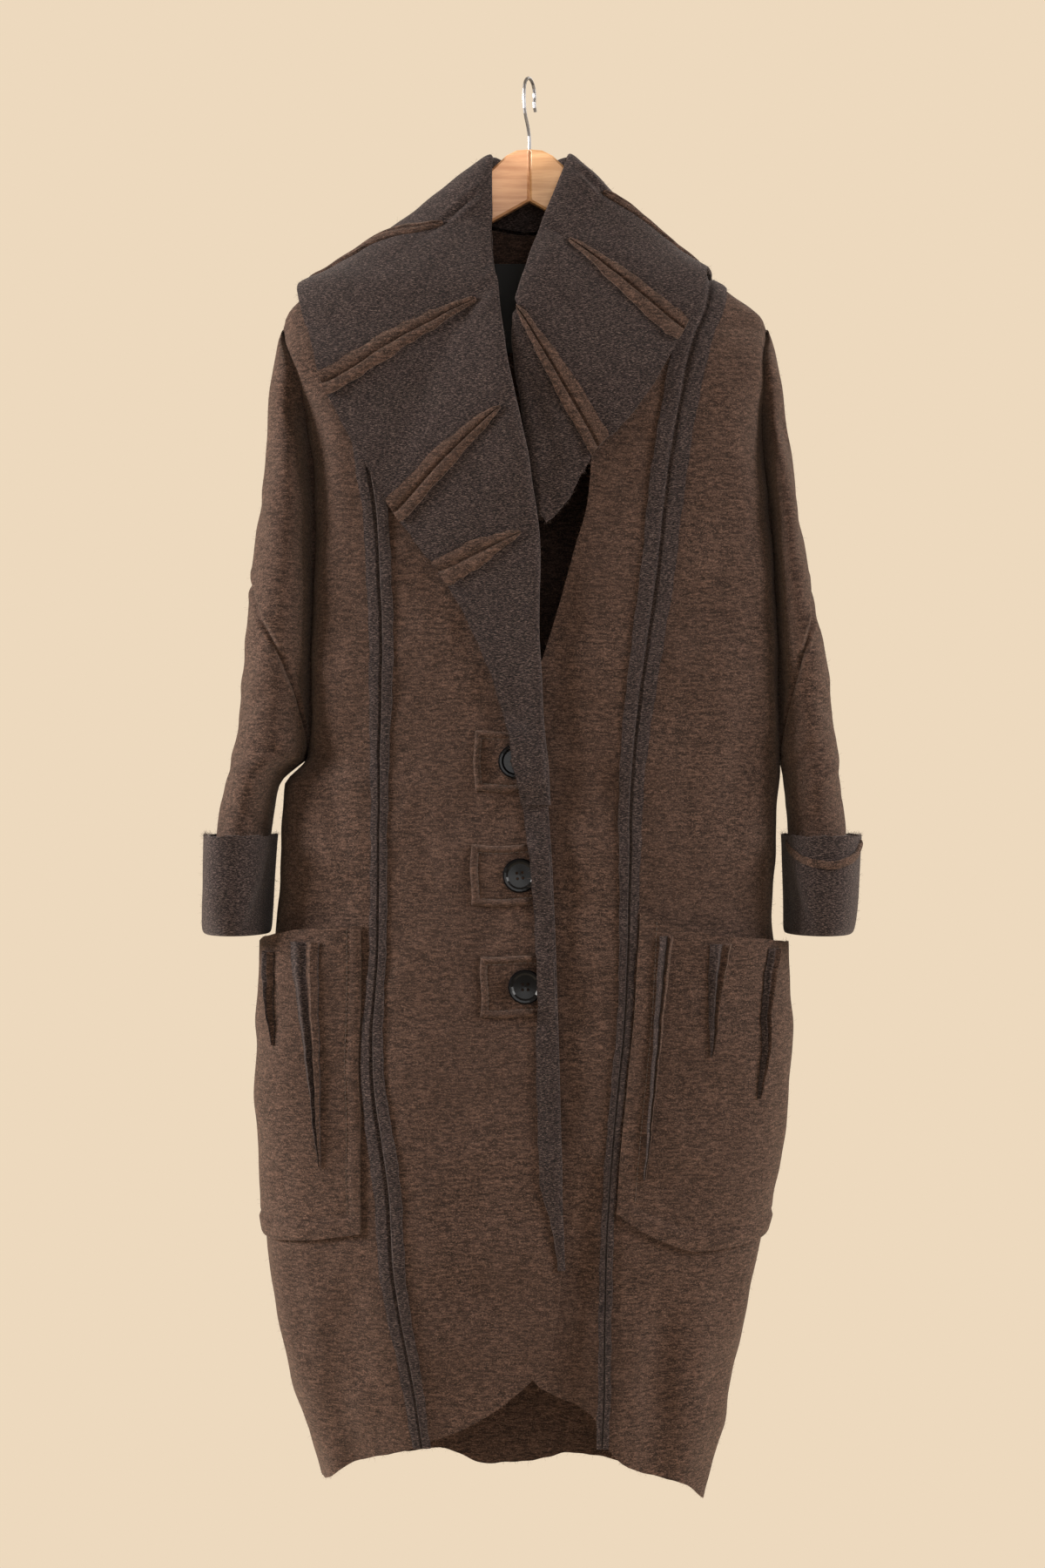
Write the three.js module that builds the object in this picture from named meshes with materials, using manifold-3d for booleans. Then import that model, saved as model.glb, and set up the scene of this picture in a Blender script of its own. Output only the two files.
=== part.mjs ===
// A long coat of felted wool, hung open-necked on a wooden hanger.
// Millimetres, +Z up. The front of the coat faces -Y, and left and right are the viewer's.
// The origin is the inside top of the hanger's hook.

import * as THREE from 'three';
import { mergeVertices } from 'three/addons/utils/BufferGeometryUtils.js';
import Module from 'manifold-3d';

const wasm = await Module();
wasm.setup();

// Driving sizes
const CLOTH = 2.5;
const SEAM_GAP = 0.3;
const SHOULDER_TOP = -124;
const BACK_NECK_DROP = 18;
const ARMHOLE_TOP = -250;
const SHOULDER_GUSSET = 9;
const RING_BOTTOM = -1360;
const NECK_HALF_WIDTH = 70;
const UNDERARM = -646;
const SLEEVE_SEAM_OUTSIDE = -478;
const SLEEVE_END = -733;
const CUFF_TOP = -719;
const CUFF_FOLD = -812;
const RING_SQUARENESS = 2.5;
const OVERLAP_DEPTH = 7;
const COLLAR_CLEARANCE = 6.5;
const COLLAR_FREE_ABOVE = -106;
const LAID_GAP = 0.8;
const STRIP_HEIGHT = 3;
const STRIP_BELOW_RIDGE = 3;
const COLLAR_END = -690;
const EDGE_STRIP_END = -1118;
const BUTTON_RADIUS = 16;
const BUTTON_HEIGHT = 4;
const TAB_WIDTH = 68;
const TAB_HEIGHT = 56;
const TAB_BORDER = 6.5;
const TAB_THICKNESS = 1.2;
const TAB_WELT = 1.2;
const HANGER_THICKNESS = 14;
const HOOK_WIRE = 3.2;
const HOOK_INSIDE_RADIUS = 13;
const HOOK_TURN = THREE.MathUtils.degToRad(-20);
const HANGER_REST_DROP = 2.6;

// The ridge is blunt: this drop already leaves a seam's gap between the front and the back
const RIDGE_STEP = 1e-5;

const BROWN = { color: 0x55423a, roughness: 0.95, metalness: 0 };
const CHARCOAL = { color: 0x484041, roughness: 0.95, metalness: 0 };
const LABEL_BLACK = { color: 0x101012, roughness: 0.8, metalness: 0 };
const BUTTON_BLACK = { color: 0x0c0c0e, roughness: 0.2, metalness: 0 };
const WOOD = { color: 0xc98a56, roughness: 0.5, metalness: 0 };
const STEEL = { color: 0xa8abad, roughness: 0.3, metalness: 1 };

const coat = new THREE.Group();

// Smooth curves through short tables
const clamp = (value, low, high) => Math.min(high, Math.max(low, value));
const mix = (start, end, share) => start + (end - start) * share;
const smoothStep = (share) => {
  const s = clamp(share, 0, 1);
  return s * s * (3 - 2 * s);
};

// A curve through points with no overshoot between them
function smoothCurve(points) {
  const sorted = [...points].sort((a, b) => a[0] - b[0]);
  const last = sorted.length - 1;
  const slopes = [];
  for (let i = 0; i < last; i += 1) {
    slopes.push((sorted[i + 1][1] - sorted[i][1]) / (sorted[i + 1][0] - sorted[i][0]));
  }
  const tangents = sorted.map((_, i) => {
    if (i === 0) return slopes[0];
    if (i === last) return slopes[last - 1];
    const before = slopes[i - 1];
    const after = slopes[i];
    return before * after <= 0 ? 0 : (2 * before * after) / (before + after);
  });
  return (key) => {
    const x = clamp(key, sorted[0][0], sorted[last][0]);
    let i = 0;
    while (i < last - 1 && x > sorted[i + 1][0]) i += 1;
    const span = sorted[i + 1][0] - sorted[i][0];
    const s = (x - sorted[i][0]) / span;
    const s2 = s * s;
    const s3 = s2 * s;
    return (2 * s3 - 3 * s2 + 1) * sorted[i][1] + (s3 - 2 * s2 + s) * span * tangents[i]
      + (3 * s2 - 2 * s3) * sorted[i + 1][1] + (s3 - s2) * span * tangents[i + 1];
  };
}

// One curve for each named column, over the first column
function table(names, rows) {
  const curves = {};
  names.split(' ').slice(1).forEach((name, index) => {
    curves[name] = smoothCurve(rows.map((row) => [row[0], row[index + 1]]));
  });
  return curves;
}

// The coat's rings: side lines, half depths, and the half width of the armhole's opening
const BODY = table('height left right front back armhole', [
  [-124, -70, 70, 26, 30, 0],
  [-138, -92, 86, 34, 36, 0],
  [-162, -134, 119, 46, 46, 0],
  [-186, -174, 157, 56, 54, 0],
  [-206, -209, 191, 64, 60, 0],
  [-228, -230, 222, 70, 66, 0],
  [-240, -234, 226, 73, 68, 0.2],
  [-250, -233, 225, 75, 70, 13],
  [-262, -228, 221, 77, 72, 31],
  [-280, -221, 219, 80, 74, 47],
  [-310, -213, 219, 83, 77, 56],
  [-360, -207, 221, 87, 80, 52],
  [-420, -204, 228, 90, 83, 44],
  [-500, -205, 233, 93, 86, 38],
  [-580, -208, 237, 96, 88, 30],
  [-625, -209, 238, 97, 89, 14],
  [-646, -211, 238, 98, 90, 0.5],
  [-672, -226, 237, 99, 91, 0],
  [-700, -232, 236, 100, 92, 0],
  [-773, -238, 234, 103, 94, 0],
  [-830, -242, 233, 106, 96, 0],
  [-900, -245, 237, 109, 98, 0],
  [-960, -249, 235, 111, 100, 0],
  [-1030, -251, 232, 112, 101, 0],
  [-1096, -249, 222, 112, 101, 0],
  [-1160, -243, 209, 110, 99, 0],
  [-1247, -225, 191, 105, 96, 0],
  [-1300, -206, 180, 101, 93, 0],
  [-1360, -186, 163, 97, 90, 0],
]);

// Soft hanging folds: where round the ring, half width in turns, depth out of the ring, and reach
const FOLDS = [
  { turn: 0.64, width: 0.09, depth: 8, top: -1085, bottom: -1360 },
  { turn: 0.46, width: 0.08, depth: -9, top: -1080, bottom: -1360 },
  { turn: -0.74, width: 0.08, depth: 7, top: -1080, bottom: -1360 },
  { turn: -0.55, width: 0.08, depth: -7, top: -1070, bottom: -1360 },
  { turn: -0.3, width: 0.1, depth: 5, top: -700, bottom: -1300 },
  { turn: 0.18, width: 0.09, depth: -10, top: -950, bottom: -1360 },
  { turn: 1.35, width: 0.1, depth: 7, top: -500, bottom: -1360 },
  { turn: 1.62, width: 0.09, depth: -6, top: -650, bottom: -1360 },
  { turn: 1.98, width: 0.12, depth: 6, top: -420, bottom: -1360 },
  { turn: 2.33, width: 0.09, depth: -7, top: -560, bottom: -1360 },
  { turn: 2.66, width: 0.1, depth: 7, top: -700, bottom: -1360 },
];

function foldDepth(turn, height) {
  let depth = 0;
  for (const fold of FOLDS) {
    const across = Math.exp(-(((turn - fold.turn) / fold.width) ** 2));
    const along = smoothStep((fold.top - height) / (0.45 * (fold.top - fold.bottom)));
    depth += fold.depth * across * along;
  }
  return depth;
}

// A point of the coat's outer face. turn is 0 at the front, 1 at the right side and 2 at the back,
// and -1 at the left side.
function ringPoint(turn, height) {
  const left = BODY.left(height);
  const right = BODY.right(height);
  const angle = (turn * Math.PI) / 2;
  const across = Math.sin(angle);
  const inFront = Math.cos(angle) >= 0;
  const armhole = BODY.armhole(height);
  const shape = (1 - Math.abs(across) ** RING_SQUARENESS) ** (1 / RING_SQUARENESS);
  const half = inFront ? BODY.front(height) : BODY.back(height);
  const fold = foldDepth(turn < -1 ? turn + 4 : turn, height);
  const depth = armhole + (half + fold - armhole) * shape;
  const x = (left + right) / 2 + ((right - left) / 2) * across;
  return new THREE.Vector3(x, inFront ? -depth : depth, height);
}

// Where round the ring a given x lies, at the front (face -1) or at the back (face 1)
function turnAt(x, height, face) {
  const left = BODY.left(height);
  const right = BODY.right(height);
  const share = clamp((x - (left + right) / 2) / ((right - left) / 2), -1, 1);
  const turn = (2 / Math.PI) * Math.asin(share);
  return face < 0 ? turn : 2 - turn;
}

function surfaceNormal(pointAt, u, v, stepU, stepV) {
  const alongU = pointAt(u + stepU, v).sub(pointAt(u - stepU, v));
  const alongV = pointAt(u, v + stepV).sub(pointAt(u, v - stepV));
  return alongU.cross(alongV).normalize();
}

// A point lifted off the coat's outer face; the way out is away from the coat's middle
function onCoat(turn, height, lift) {
  const point = ringPoint(turn, height);
  if (lift === 0) return point;
  const level = clamp(height, RING_BOTTOM + 2, SHOULDER_TOP - 2);
  const fromSide = 1 - Math.abs(turn);
  const besideSide = turn + 0.008 * (fromSide < 0 ? -1 : 1);
  const nearTurn = Math.abs(fromSide) < 0.004 ? besideSide : turn;
  const normal = surfaceNormal(ringPoint, nearTurn, level, 0.003, 1);
  const middle = (BODY.left(height) + BODY.right(height)) / 2;
  const outward = normal.x * (point.x - middle) + normal.y * point.y;
  return point.addScaledVector(normal, outward < 0 ? -lift : lift);
}

function onCoatAt(x, height, face, lift) {
  return onCoat(turnAt(x, height, face), height, lift);
}

// The height of the shoulder ridge over a given x
function ridgeHeight(x) {
  let high = SHOULDER_TOP;
  let low = -240;
  for (let i = 0; i < 40; i += 1) {
    const level = (high + low) / 2;
    if (x > BODY.left(level) && x < BODY.right(level)) low = level;
    else high = level;
  }
  return (high + low) / 2;
}

// Pushes a point out until it clears the coat's outer face
function clearOfCoat(point, clearance) {
  const place = point.clone();
  const reach = (p) => {
    const height = clamp(p.z, RING_BOTTOM, SHOULDER_TOP);
    const left = BODY.left(height);
    const right = BODY.right(height);
    const armhole = BODY.armhole(height);
    const half = p.y < 0 ? BODY.front(height) : BODY.back(height);
    const across = Math.abs((p.x - (left + right) / 2) / ((right - left) / 2));
    const deep = Math.max(0, Math.abs(p.y) - armhole) / (half - armhole);
    return (across ** RING_SQUARENESS + deep ** RING_SQUARENESS) ** (1 / RING_SQUARENESS) - 1;
  };
  for (let i = 0; i < 6; i += 1) {
    const here = reach(place);
    const slope = new THREE.Vector3(
      reach(place.clone().add(new THREE.Vector3(0.5, 0, 0))) - here,
      reach(place.clone().add(new THREE.Vector3(0, 0.5, 0))) - here,
      reach(place.clone().add(new THREE.Vector3(0, 0, 0.5))) - here,
    ).multiplyScalar(2);
    const steepness = slope.length();
    if (steepness < 1e-6) break;
    const distance = here / steepness;
    if (distance >= clearance) break;
    place.addScaledVector(slope.normalize(), clearance - distance);
  }
  return place;
}

// Meshes
function addMesh(name, geometry, finish) {
  const mesh = new THREE.Mesh(geometry, new THREE.MeshStandardMaterial(finish));
  mesh.name = name;
  coat.add(mesh);
  return mesh;
}

function geometryOf(points, faces) {
  const positions = points.flatMap((point) => [point.x, point.y, point.z]);
  let volume = 0;
  for (const [a, b, c] of faces) {
    volume += points[a].dot(new THREE.Vector3().crossVectors(points[b], points[c]));
  }
  const indices = faces.flatMap(([a, b, c]) => (volume < 0 ? [a, c, b] : [a, b, c]));
  const geometry = new THREE.BufferGeometry();
  geometry.setAttribute('position', new THREE.Float32BufferAttribute(positions, 3));
  geometry.setIndex(indices);
  geometry.computeVertexNormals();
  return geometry;
}

// A closed cloth wall over a grid of cells. pointAt(i, j, side) gives side 1, the face that shows,
// and side 0, the face under it. Cells that keep(i, j) refuses are left out, and every open edge
// gets a rim.
function wallGeometry(columns, rows, pointAt, { keep = () => true, closed = false } = {}) {
  const points = [];
  const indexOf = new Map();
  const corner = (i, j, side) => {
    const column = closed ? i % columns : i;
    const key = `${column},${j},${side}`;
    if (!indexOf.has(key)) {
      indexOf.set(key, points.length);
      points.push(pointAt(column, j, side));
    }
    return indexOf.get(key);
  };
  const has = (i, j) => {
    const column = closed ? (i + columns) % columns : i;
    return column >= 0 && column < columns && j >= 0 && j < rows && keep(column, j);
  };
  const faces = [];
  const quad = (a, b, c, d) => faces.push([a, b, c], [a, c, d]);
  for (let i = 0; i < columns; i += 1) {
    for (let j = 0; j < rows; j += 1) {
      if (!has(i, j)) continue;
      const top = [corner(i, j, 1), corner(i + 1, j, 1), corner(i + 1, j + 1, 1), corner(i, j + 1, 1)];
      const under = [corner(i, j, 0), corner(i + 1, j, 0), corner(i + 1, j + 1, 0), corner(i, j + 1, 0)];
      quad(top[0], top[1], top[2], top[3]);
      quad(under[3], under[2], under[1], under[0]);
      const neighbours = [[i, j - 1], [i + 1, j], [i, j + 1], [i - 1, j]];
      neighbours.forEach(([ni, nj], edge) => {
        if (has(ni, nj)) return;
        const next = (edge + 1) % 4;
        quad(top[next], top[edge], under[edge], under[next]);
      });
    }
  }
  return geometryOf(points, faces);
}

// Seams, edges and hems, by height or by x
const SEAMS = {
  frontRight: smoothCurve([
    [-190, 170], [-216, 167], [-262, 151], [-309, 141], [-373, 130], [-477, 118], [-590, 102],
    [-671, 94], [-798, 91], [-878, 88], [-941, 82], [-1036, 74], [-1131, 70], [-1231, 69], [-1290, 67],
  ]),
  frontLeft: smoothCurve([
    [-190, -176], [-216, -172], [-300, -160], [-373, -150], [-432, -142], [-555, -137], [-671, -139],
    [-803, -139], [-915, -145], [-956, -143], [-1038, -131], [-1116, -126], [-1223, -108], [-1281, -99],
  ]),
  backRight: smoothCurve([[-190, 170], [-262, 150], [-432, 120], [-670, 102], [-900, 98], [-1340, 80]]),
  backLeft: smoothCurve([[-190, -176], [-262, -156], [-432, -126], [-670, -108], [-900, -104], [-1340, -86]]),
};

const LEFT_EDGE = smoothCurve([
  [-124, -70], [-160, -71], [-220, -66], [-280, -58], [-340, -40], [-395, -15], [-440, 2], [-511, 1],
  [-595, 5], [-675, 12], [-767, 18], [-911, 23], [-1098, 28], [-1125, 30],
]);

const RIGHT_EDGE = smoothCurve([
  [-124, 70], [-160, 70], [-250, 60], [-350, 58], [-406, 54], [-455, 41], [-509, 26], [-567, 8],
  [-620, -8], [-700, -18], [-1100, -20], [-1150, -20],
]);

const HEMS = {
  left: smoothCurve([
    [-260, -1345], [-196, -1326], [-167, -1303], [-143, -1294], [-106, -1281], [-75, -1270],
    [-47, -1257], [-20, -1238], [8, -1213], [20, -1186], [27, -1155], [30, -1125],
  ]),
  right: smoothCurve([
    [-20, -1150], [-12, -1188], [8, -1225], [29, -1238], [47, -1247], [60, -1257], [68, -1274],
    [77, -1292], [109, -1311], [146, -1322], [167, -1345], [240, -1350],
  ]),
  back: smoothCurve([
    [-260, -1345], [-196, -1328], [-120, -1322], [-91, -1320], [-41, -1337], [-14, -1337], [18, -1332],
    [41, -1326], [67, -1328], [120, -1338], [167, -1347], [240, -1352],
  ]),
};

const BACK_NECK = smoothCurve([[-70, 0], [-45, -0.62], [0, -1], [45, -0.62], [70, 0]]);

// The first height going down at which inside(height) holds
function heightWhere(high, low, inside) {
  let top = high;
  let bottom = low;
  for (let i = 0; i < 40; i += 1) {
    const level = (top + bottom) / 2;
    if (inside(level)) bottom = level;
    else top = level;
  }
  return bottom;
}

// The top and the bottom of a column whose x is columnX(height)
function columnTop(columnX, neck) {
  const ridge = heightWhere(SHOULDER_TOP, -245, (level) => {
    const x = columnX(level);
    return x > BODY.left(level) && x < BODY.right(level);
  });
  const start = columnX(ridge);
  if (!neck || Math.abs(start) >= NECK_HALF_WIDTH) return ridge;
  return Math.min(ridge, SHOULDER_TOP + BACK_NECK_DROP * BACK_NECK(start));
}

function columnBottom(columnX, hem) {
  return heightWhere(-1000, RING_BOTTOM, (level) => level <= hem(columnX(level)));
}

// Right of the centre the right front sinks under the left one
function overlapDrop(x, height) {
  const below = smoothStep((-380 - height) / 120);
  return OVERLAP_DEPTH * smoothStep((62 - x) / 44) * below;
}

// Every panel and strip has its rows at the same heights along a seam
const ROWS = { top: 4, armhole: 7, below: 9 };
const ROW_COUNT = ROWS.top + ROWS.armhole + ROWS.below;

function rowHeight(top, bottom, j) {
  if (j <= ROWS.top) return mix(top, ARMHOLE_TOP, (j / ROWS.top) ** 1.6);
  if (j <= ROWS.top + ROWS.armhole) return mix(ARMHOLE_TOP, UNDERARM, (j - ROWS.top) / ROWS.armhole);
  return mix(UNDERARM, bottom, (j - ROWS.top - ROWS.armhole) / ROWS.below);
}

// A panel between two lines x(height), from the shoulder or neck to the hem
function centrePanel(name, finish, lines, face, hem, { columns = 6, drop = () => 0 } = {}) {
  const [startLine, endLine] = lines;
  const tops = [];
  const bottoms = [];
  for (let i = 0; i <= columns; i += 1) {
    const columnX = (level) => mix(startLine(level), endLine(level), i / columns);
    tops.push(columnTop(columnX, face > 0) - RIDGE_STEP);
    bottoms.push(columnBottom(columnX, hem));
  }
  const pointAt = (i, j, side) => {
    const height = rowHeight(tops[i], bottoms[i], j);
    const x = mix(startLine(height), endLine(height), i / columns);
    return onCoatAt(x, height, face, (side - 1) * CLOTH - drop(x, height));
  };
  addMesh(name, wallGeometry(columns, ROW_COUNT, pointAt), finish);
}

const shifted = (line, distance) => (level) => line(level) + distance;

// Sleeves: outer line, inner line below the underarm, and half depth
const SLEEVES = {
  left: {
    sign: -1,
    lines: table('height outer inner depth', [
      [-238, -235, -230, 6], [-250, -239, -233, 19], [-262, -241, -228, 37], [-280, -244, -221, 54],
      [-310, -248, -213, 63],
      [-369, -252, -206, 70], [-412, -257, -204, 73], [-478, -265, -205, 77], [-566, -272, -208, 78],
      [-611, -276, -209, 78], [-646, -284, -211, 77], [-654, -286, -226, 76], [-664, -288, -236, 75],
      [-690, -293, -243, 74], [-733, -298, -247, 72], [-812, -304, -250, 72],
    ]),
  },
  right: {
    sign: 1,
    lines: table('height outer inner depth', [
      [-238, 227, 222, 6], [-250, 231, 225, 19], [-262, 234, 221, 37], [-280, 237, 219, 54],
      [-310, 242, 219, 63],
      [-369, 250, 222, 70], [-412, 256, 227, 73], [-478, 266, 232, 77], [-566, 283, 236, 78],
      [-611, 289, 238, 78], [-646, 293, 239, 77], [-654, 294, 240.5, 76], [-664, 295, 242, 75],
      [-690, 298, 244, 74], [-733, 301, 246, 72], [-812, 301, 246, 72],
    ]),
  },
};

// A sleeve's section at a height: an ellipse that meets the body along the armhole's edge
function sleeveSection(sleeve, height) {
  const outer = sleeve.lines.outer(height);
  const depth = sleeve.lines.depth(height);
  const armhole = height > UNDERARM ? BODY.armhole(height) : 0;
  const side = sleeve.sign < 0 ? BODY.left : BODY.right;
  const inner = height > UNDERARM ? side(height) : sleeve.lines.inner(height);
  const open = Math.sqrt(1 - (armhole / depth) ** 2);
  const half = Math.abs(outer - inner) / (1 + open);
  return {
    middle: outer - sleeve.sign * half,
    half,
    depth,
    end: Math.PI - Math.asin(armhole / depth),
  };
}

// A point round the sleeve: 0 outside, 1 and -1 at the armhole's edge, at the back and the front
function sleevePoint(sleeve, round, height, lift, whole = false) {
  const section = sleeveSection(sleeve, height);
  const angle = round * (whole ? Math.PI : section.end);
  const outward = lift > 0 ? 0.25 * lift : 0;
  return new THREE.Vector3(
    section.middle + sleeve.sign * (outward + (section.half + lift - outward) * Math.cos(angle)),
    (section.depth + lift) * Math.sin(angle),
    height,
  );
}

// The slanted seam where the sleeve is set on, for each column from the outside to the armhole's edge
const SLEEVE_COLUMNS = 8;

function sleeveSeam(sleeve) {
  const turnOf = (round, height) => {
    const section = sleeveSection(sleeve, Math.max(height, UNDERARM + 0.01));
    return (round * section.end) / Math.PI;
  };
  const columns = [];
  for (let k = 0; k <= SLEEVE_COLUMNS; k += 1) {
    const round = k / SLEEVE_COLUMNS;
    let height = SLEEVE_SEAM_OUTSIDE;
    for (let step = 0; step < 60; step += 1) {
      const share = Math.min(1, turnOf(round, height)) ** 1.4;
      height = mix(height, mix(SLEEVE_SEAM_OUTSIDE, UNDERARM, share), 0.5);
    }
    columns.push({ height, turn: turnOf(round, height) });
  }
  return columns;
}

// A side panel: from its seam to the side, and over the shoulder to the sleeve's seam
function sidePanel(name, finish, seamLine, sleeve, face, hem) {
  const bodyColumns = 4;
  const seam = sleeveSeam(sleeve);
  const sideLine = (level) => {
    const line = sleeve.sign < 0 ? BODY.left(level) : BODY.right(level);
    const shoulderEnd = sleeve.sign < 0 ? BODY.left(ARMHOLE_TOP + 8) : BODY.right(ARMHOLE_TOP + 8);
    return level > ARMHOLE_TOP + 8 ? shoulderEnd : line;
  };
  const columnX = (i) => (level) => mix(seamLine(level), sideLine(level), i / bodyColumns);
  const tops = [];
  const bottoms = [];
  for (let i = 0; i <= bodyColumns; i += 1) {
    tops.push(columnTop(columnX(i), false) - RIDGE_STEP);
    bottoms.push(columnBottom(columnX(i), hem));
  }
  const sideGap = 1 - 0.0008;
  const pointAt = (i, j, side) => {
    const lift = (side - 1) * CLOTH;
    if (i <= bodyColumns) {
      const height = rowHeight(tops[i], bottoms[i], j);
      const turn = clamp(turnAt(columnX(i)(height), height, -1), -sideGap, sideGap);
      return onCoat(face < 0 ? turn : 2 - turn, height, lift);
    }
    const k = SLEEVE_COLUMNS - (i - bodyColumns);
    const round = Math.max(k / SLEEVE_COLUMNS, 0.0015) * face;
    const gusset = SHOULDER_GUSSET * (1 - k / SLEEVE_COLUMNS) ** 0.8;
    const share = (j - ROWS.top) / ROWS.armhole;
    const height = mix(ARMHOLE_TOP + gusset, seam[k].height + SEAM_GAP / 2, share);
    return sleevePoint(sleeve, round, height, lift);
  };
  const keep = (i, j) => i < bodyColumns || (j >= ROWS.top && j < ROWS.top + ROWS.armhole);
  addMesh(name, wallGeometry(bodyColumns + SLEEVE_COLUMNS, ROW_COUNT, pointAt, { keep }), finish);
}

// A sleeve tube from its slanted seam to the cuff
function sleeveTube(name, finish, sleeve) {
  const rows = 8;
  const seam = sleeveSeam(sleeve);
  const pointAt = (i, j, side) => {
    const column = seam[Math.abs(i - SLEEVE_COLUMNS)];
    const turn = i < SLEEVE_COLUMNS ? -column.turn : column.turn;
    const underarmGap = 2.5 * (Math.abs(i - SLEEVE_COLUMNS) / SLEEVE_COLUMNS) ** 5;
    const height = mix(column.height - SEAM_GAP / 2 - underarmGap, SLEEVE_END, j / rows);
    return sleevePoint(sleeve, turn, height, (side - 1) * CLOTH, true);
  };
  addMesh(name, wallGeometry(2 * SLEEVE_COLUMNS, rows, pointAt, { closed: true }), finish);
}

// A turned-back cuff: a folded section carried round the sleeve
const CUFF_SECTION = [
  { grow: -CLOTH, height: SLEEVE_END - SEAM_GAP },
  { grow: -CLOTH, height: CUFF_FOLD + 6 },
  { grow: 1, height: CUFF_FOLD },
  { grow: 7, height: CUFF_FOLD + 4 },
  { grow: 9.5, height: CUFF_TOP - 50 },
  { grow: 11.5, height: CUFF_TOP },
  { grow: 11.5 - CLOTH, height: CUFF_TOP },
  { grow: 9.5 - CLOTH, height: CUFF_TOP - 50 },
  { grow: 7 - CLOTH, height: CUFF_FOLD + 6 },
  { grow: 1, height: CUFF_FOLD + 3 },
  { grow: 0, height: CUFF_FOLD + 7 },
  { grow: 0, height: SLEEVE_END - SEAM_GAP },
];

function cuff(name, finish, sleeve) {
  const around = 20;
  const corners = CUFF_SECTION.length;
  const points = [];
  for (let i = 0; i < around; i += 1) {
    const turn = (2 * i) / around - 1;
    for (const { grow, height } of CUFF_SECTION) points.push(sleevePoint(sleeve, turn, height, grow, true));
  }
  const faces = [];
  for (let i = 0; i < around; i += 1) {
    for (let k = 0; k < corners; k += 1) {
      const a = i * corners + k;
      const b = i * corners + ((k + 1) % corners);
      const c = ((i + 1) % around) * corners + ((k + 1) % corners);
      const d = ((i + 1) % around) * corners + k;
      faces.push([a, b, c], [a, c, d]);
    }
  }
  addMesh(name, geometryOf(points, faces), finish);
}

// The raw strip that sags along the top of the right cuff's front
function cuffTrim(name, finish, sleeve) {
  const columns = 10;
  const pointAt = (i, j, side) => {
    const share = i / columns;
    const turn = mix(-0.16, -0.86, share);
    const sag = 4 + 19 * Math.sin(Math.PI * share) ** 0.8;
    const height = CUFF_TOP - sag - 7.5 * j;
    return sleevePoint(sleeve, turn, height, 12 + SEAM_GAP + 2.4 * side, true);
  };
  addMesh(name, wallGeometry(columns, 1, pointAt), finish);
}

// How wide the pairs of raw allowances are, by height
const STRIP_WIDTHS = {
  right: smoothCurve([[-190, 35], [-300, 34], [-500, 31], [-590, 27], [-750, 19], [-900, 13], [-1300, 11]]),
  left: smoothCurve([[-190, 24], [-500, 23], [-620, 19], [-700, 15], [-800, 15], [-1030, 25], [-1281, 16]]),
  back: smoothCurve([[-190, 32], [-500, 26], [-800, 18], [-1330, 14]]),
};

// The pair of raw allowances along a panel seam: two flat humps with a groove between them
function seamStrip(name, finish, line, widthAt, face, top, bottom) {
  const ACROSS = [
    { place: -0.5, height: 0.85 }, { place: -0.09, height: 1 }, { place: 0, height: 0.35 },
    { place: 0.09, height: 1 }, { place: 0.5, height: 0.85 },
  ];
  const columns = ACROSS.length - 1;
  const tops = ACROSS.map(({ place }) => columnTop((level) => line(level) + place * widthAt(level), false));
  const pointAt = (i, j, side) => {
    const height = rowHeight(Math.min(top, tops[i] - STRIP_BELOW_RIDGE), bottom, j);
    const x = line(height) + ACROSS[i].place * widthAt(height);
    const lift = 1.5 * LAID_GAP + (side === 1 ? STRIP_HEIGHT * ACROSS[i].height : 0);
    return onCoatAt(x, height, face, lift);
  };
  addMesh(name, wallGeometry(columns, ROW_COUNT, pointAt), finish);
}

// Pockets: how far they stand off, inner edge, how far they wrap to the back, and the top and
// bottom line by the share across
const POCKETS = {
  left: {
    sign: -1,
    seat: 1.05,
    inner: (height) => Math.min(-155, SEAMS.frontLeft(height) - STRIP_WIDTHS.left(height) / 2 - 1.5),
    wrap: 0.14,
    top: smoothCurve([[0, -802], [0.3, -807], [0.6, -816], [1, -829]]),
    bottom: smoothCurve([[0, -1085], [0.25, -1093], [0.5, -1096], [1, -1087]]),
  },
  right: {
    sign: 1,
    seat: 1.3,
    inner: (height) => SEAMS.frontRight(height) + STRIP_WIDTHS.right(height) / 2 + 1.5,
    wrap: 0.1,
    top: smoothCurve([[0, -789], [0.2, -808], [0.5, -815], [0.8, -820], [1, -826]]),
    bottom: smoothCurve([[0, -1066], [0.12, -1087], [0.3, -1102], [0.55, -1098], [1, -1083]]),
  },
};
const POCKET_GAPE = 15;
const DART_SEAT = 0.55;

function pocketTurn(pocket, share, height) {
  const start = turnAt(pocket.inner(height), height, -1);
  return mix(start, pocket.sign * (1 + pocket.wrap), share);
}

// The hollow behind the pocket, from its top down
function pocketHollow(pocket, share, height) {
  const top = pocket.top(share);
  const down = clamp((top - height) / (top - pocket.bottom(share)), 0, 1);
  return POCKET_GAPE * Math.sin(Math.PI * clamp(share, 0, 1)) ** 0.6 * (1 - down ** 2.2);
}

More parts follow.
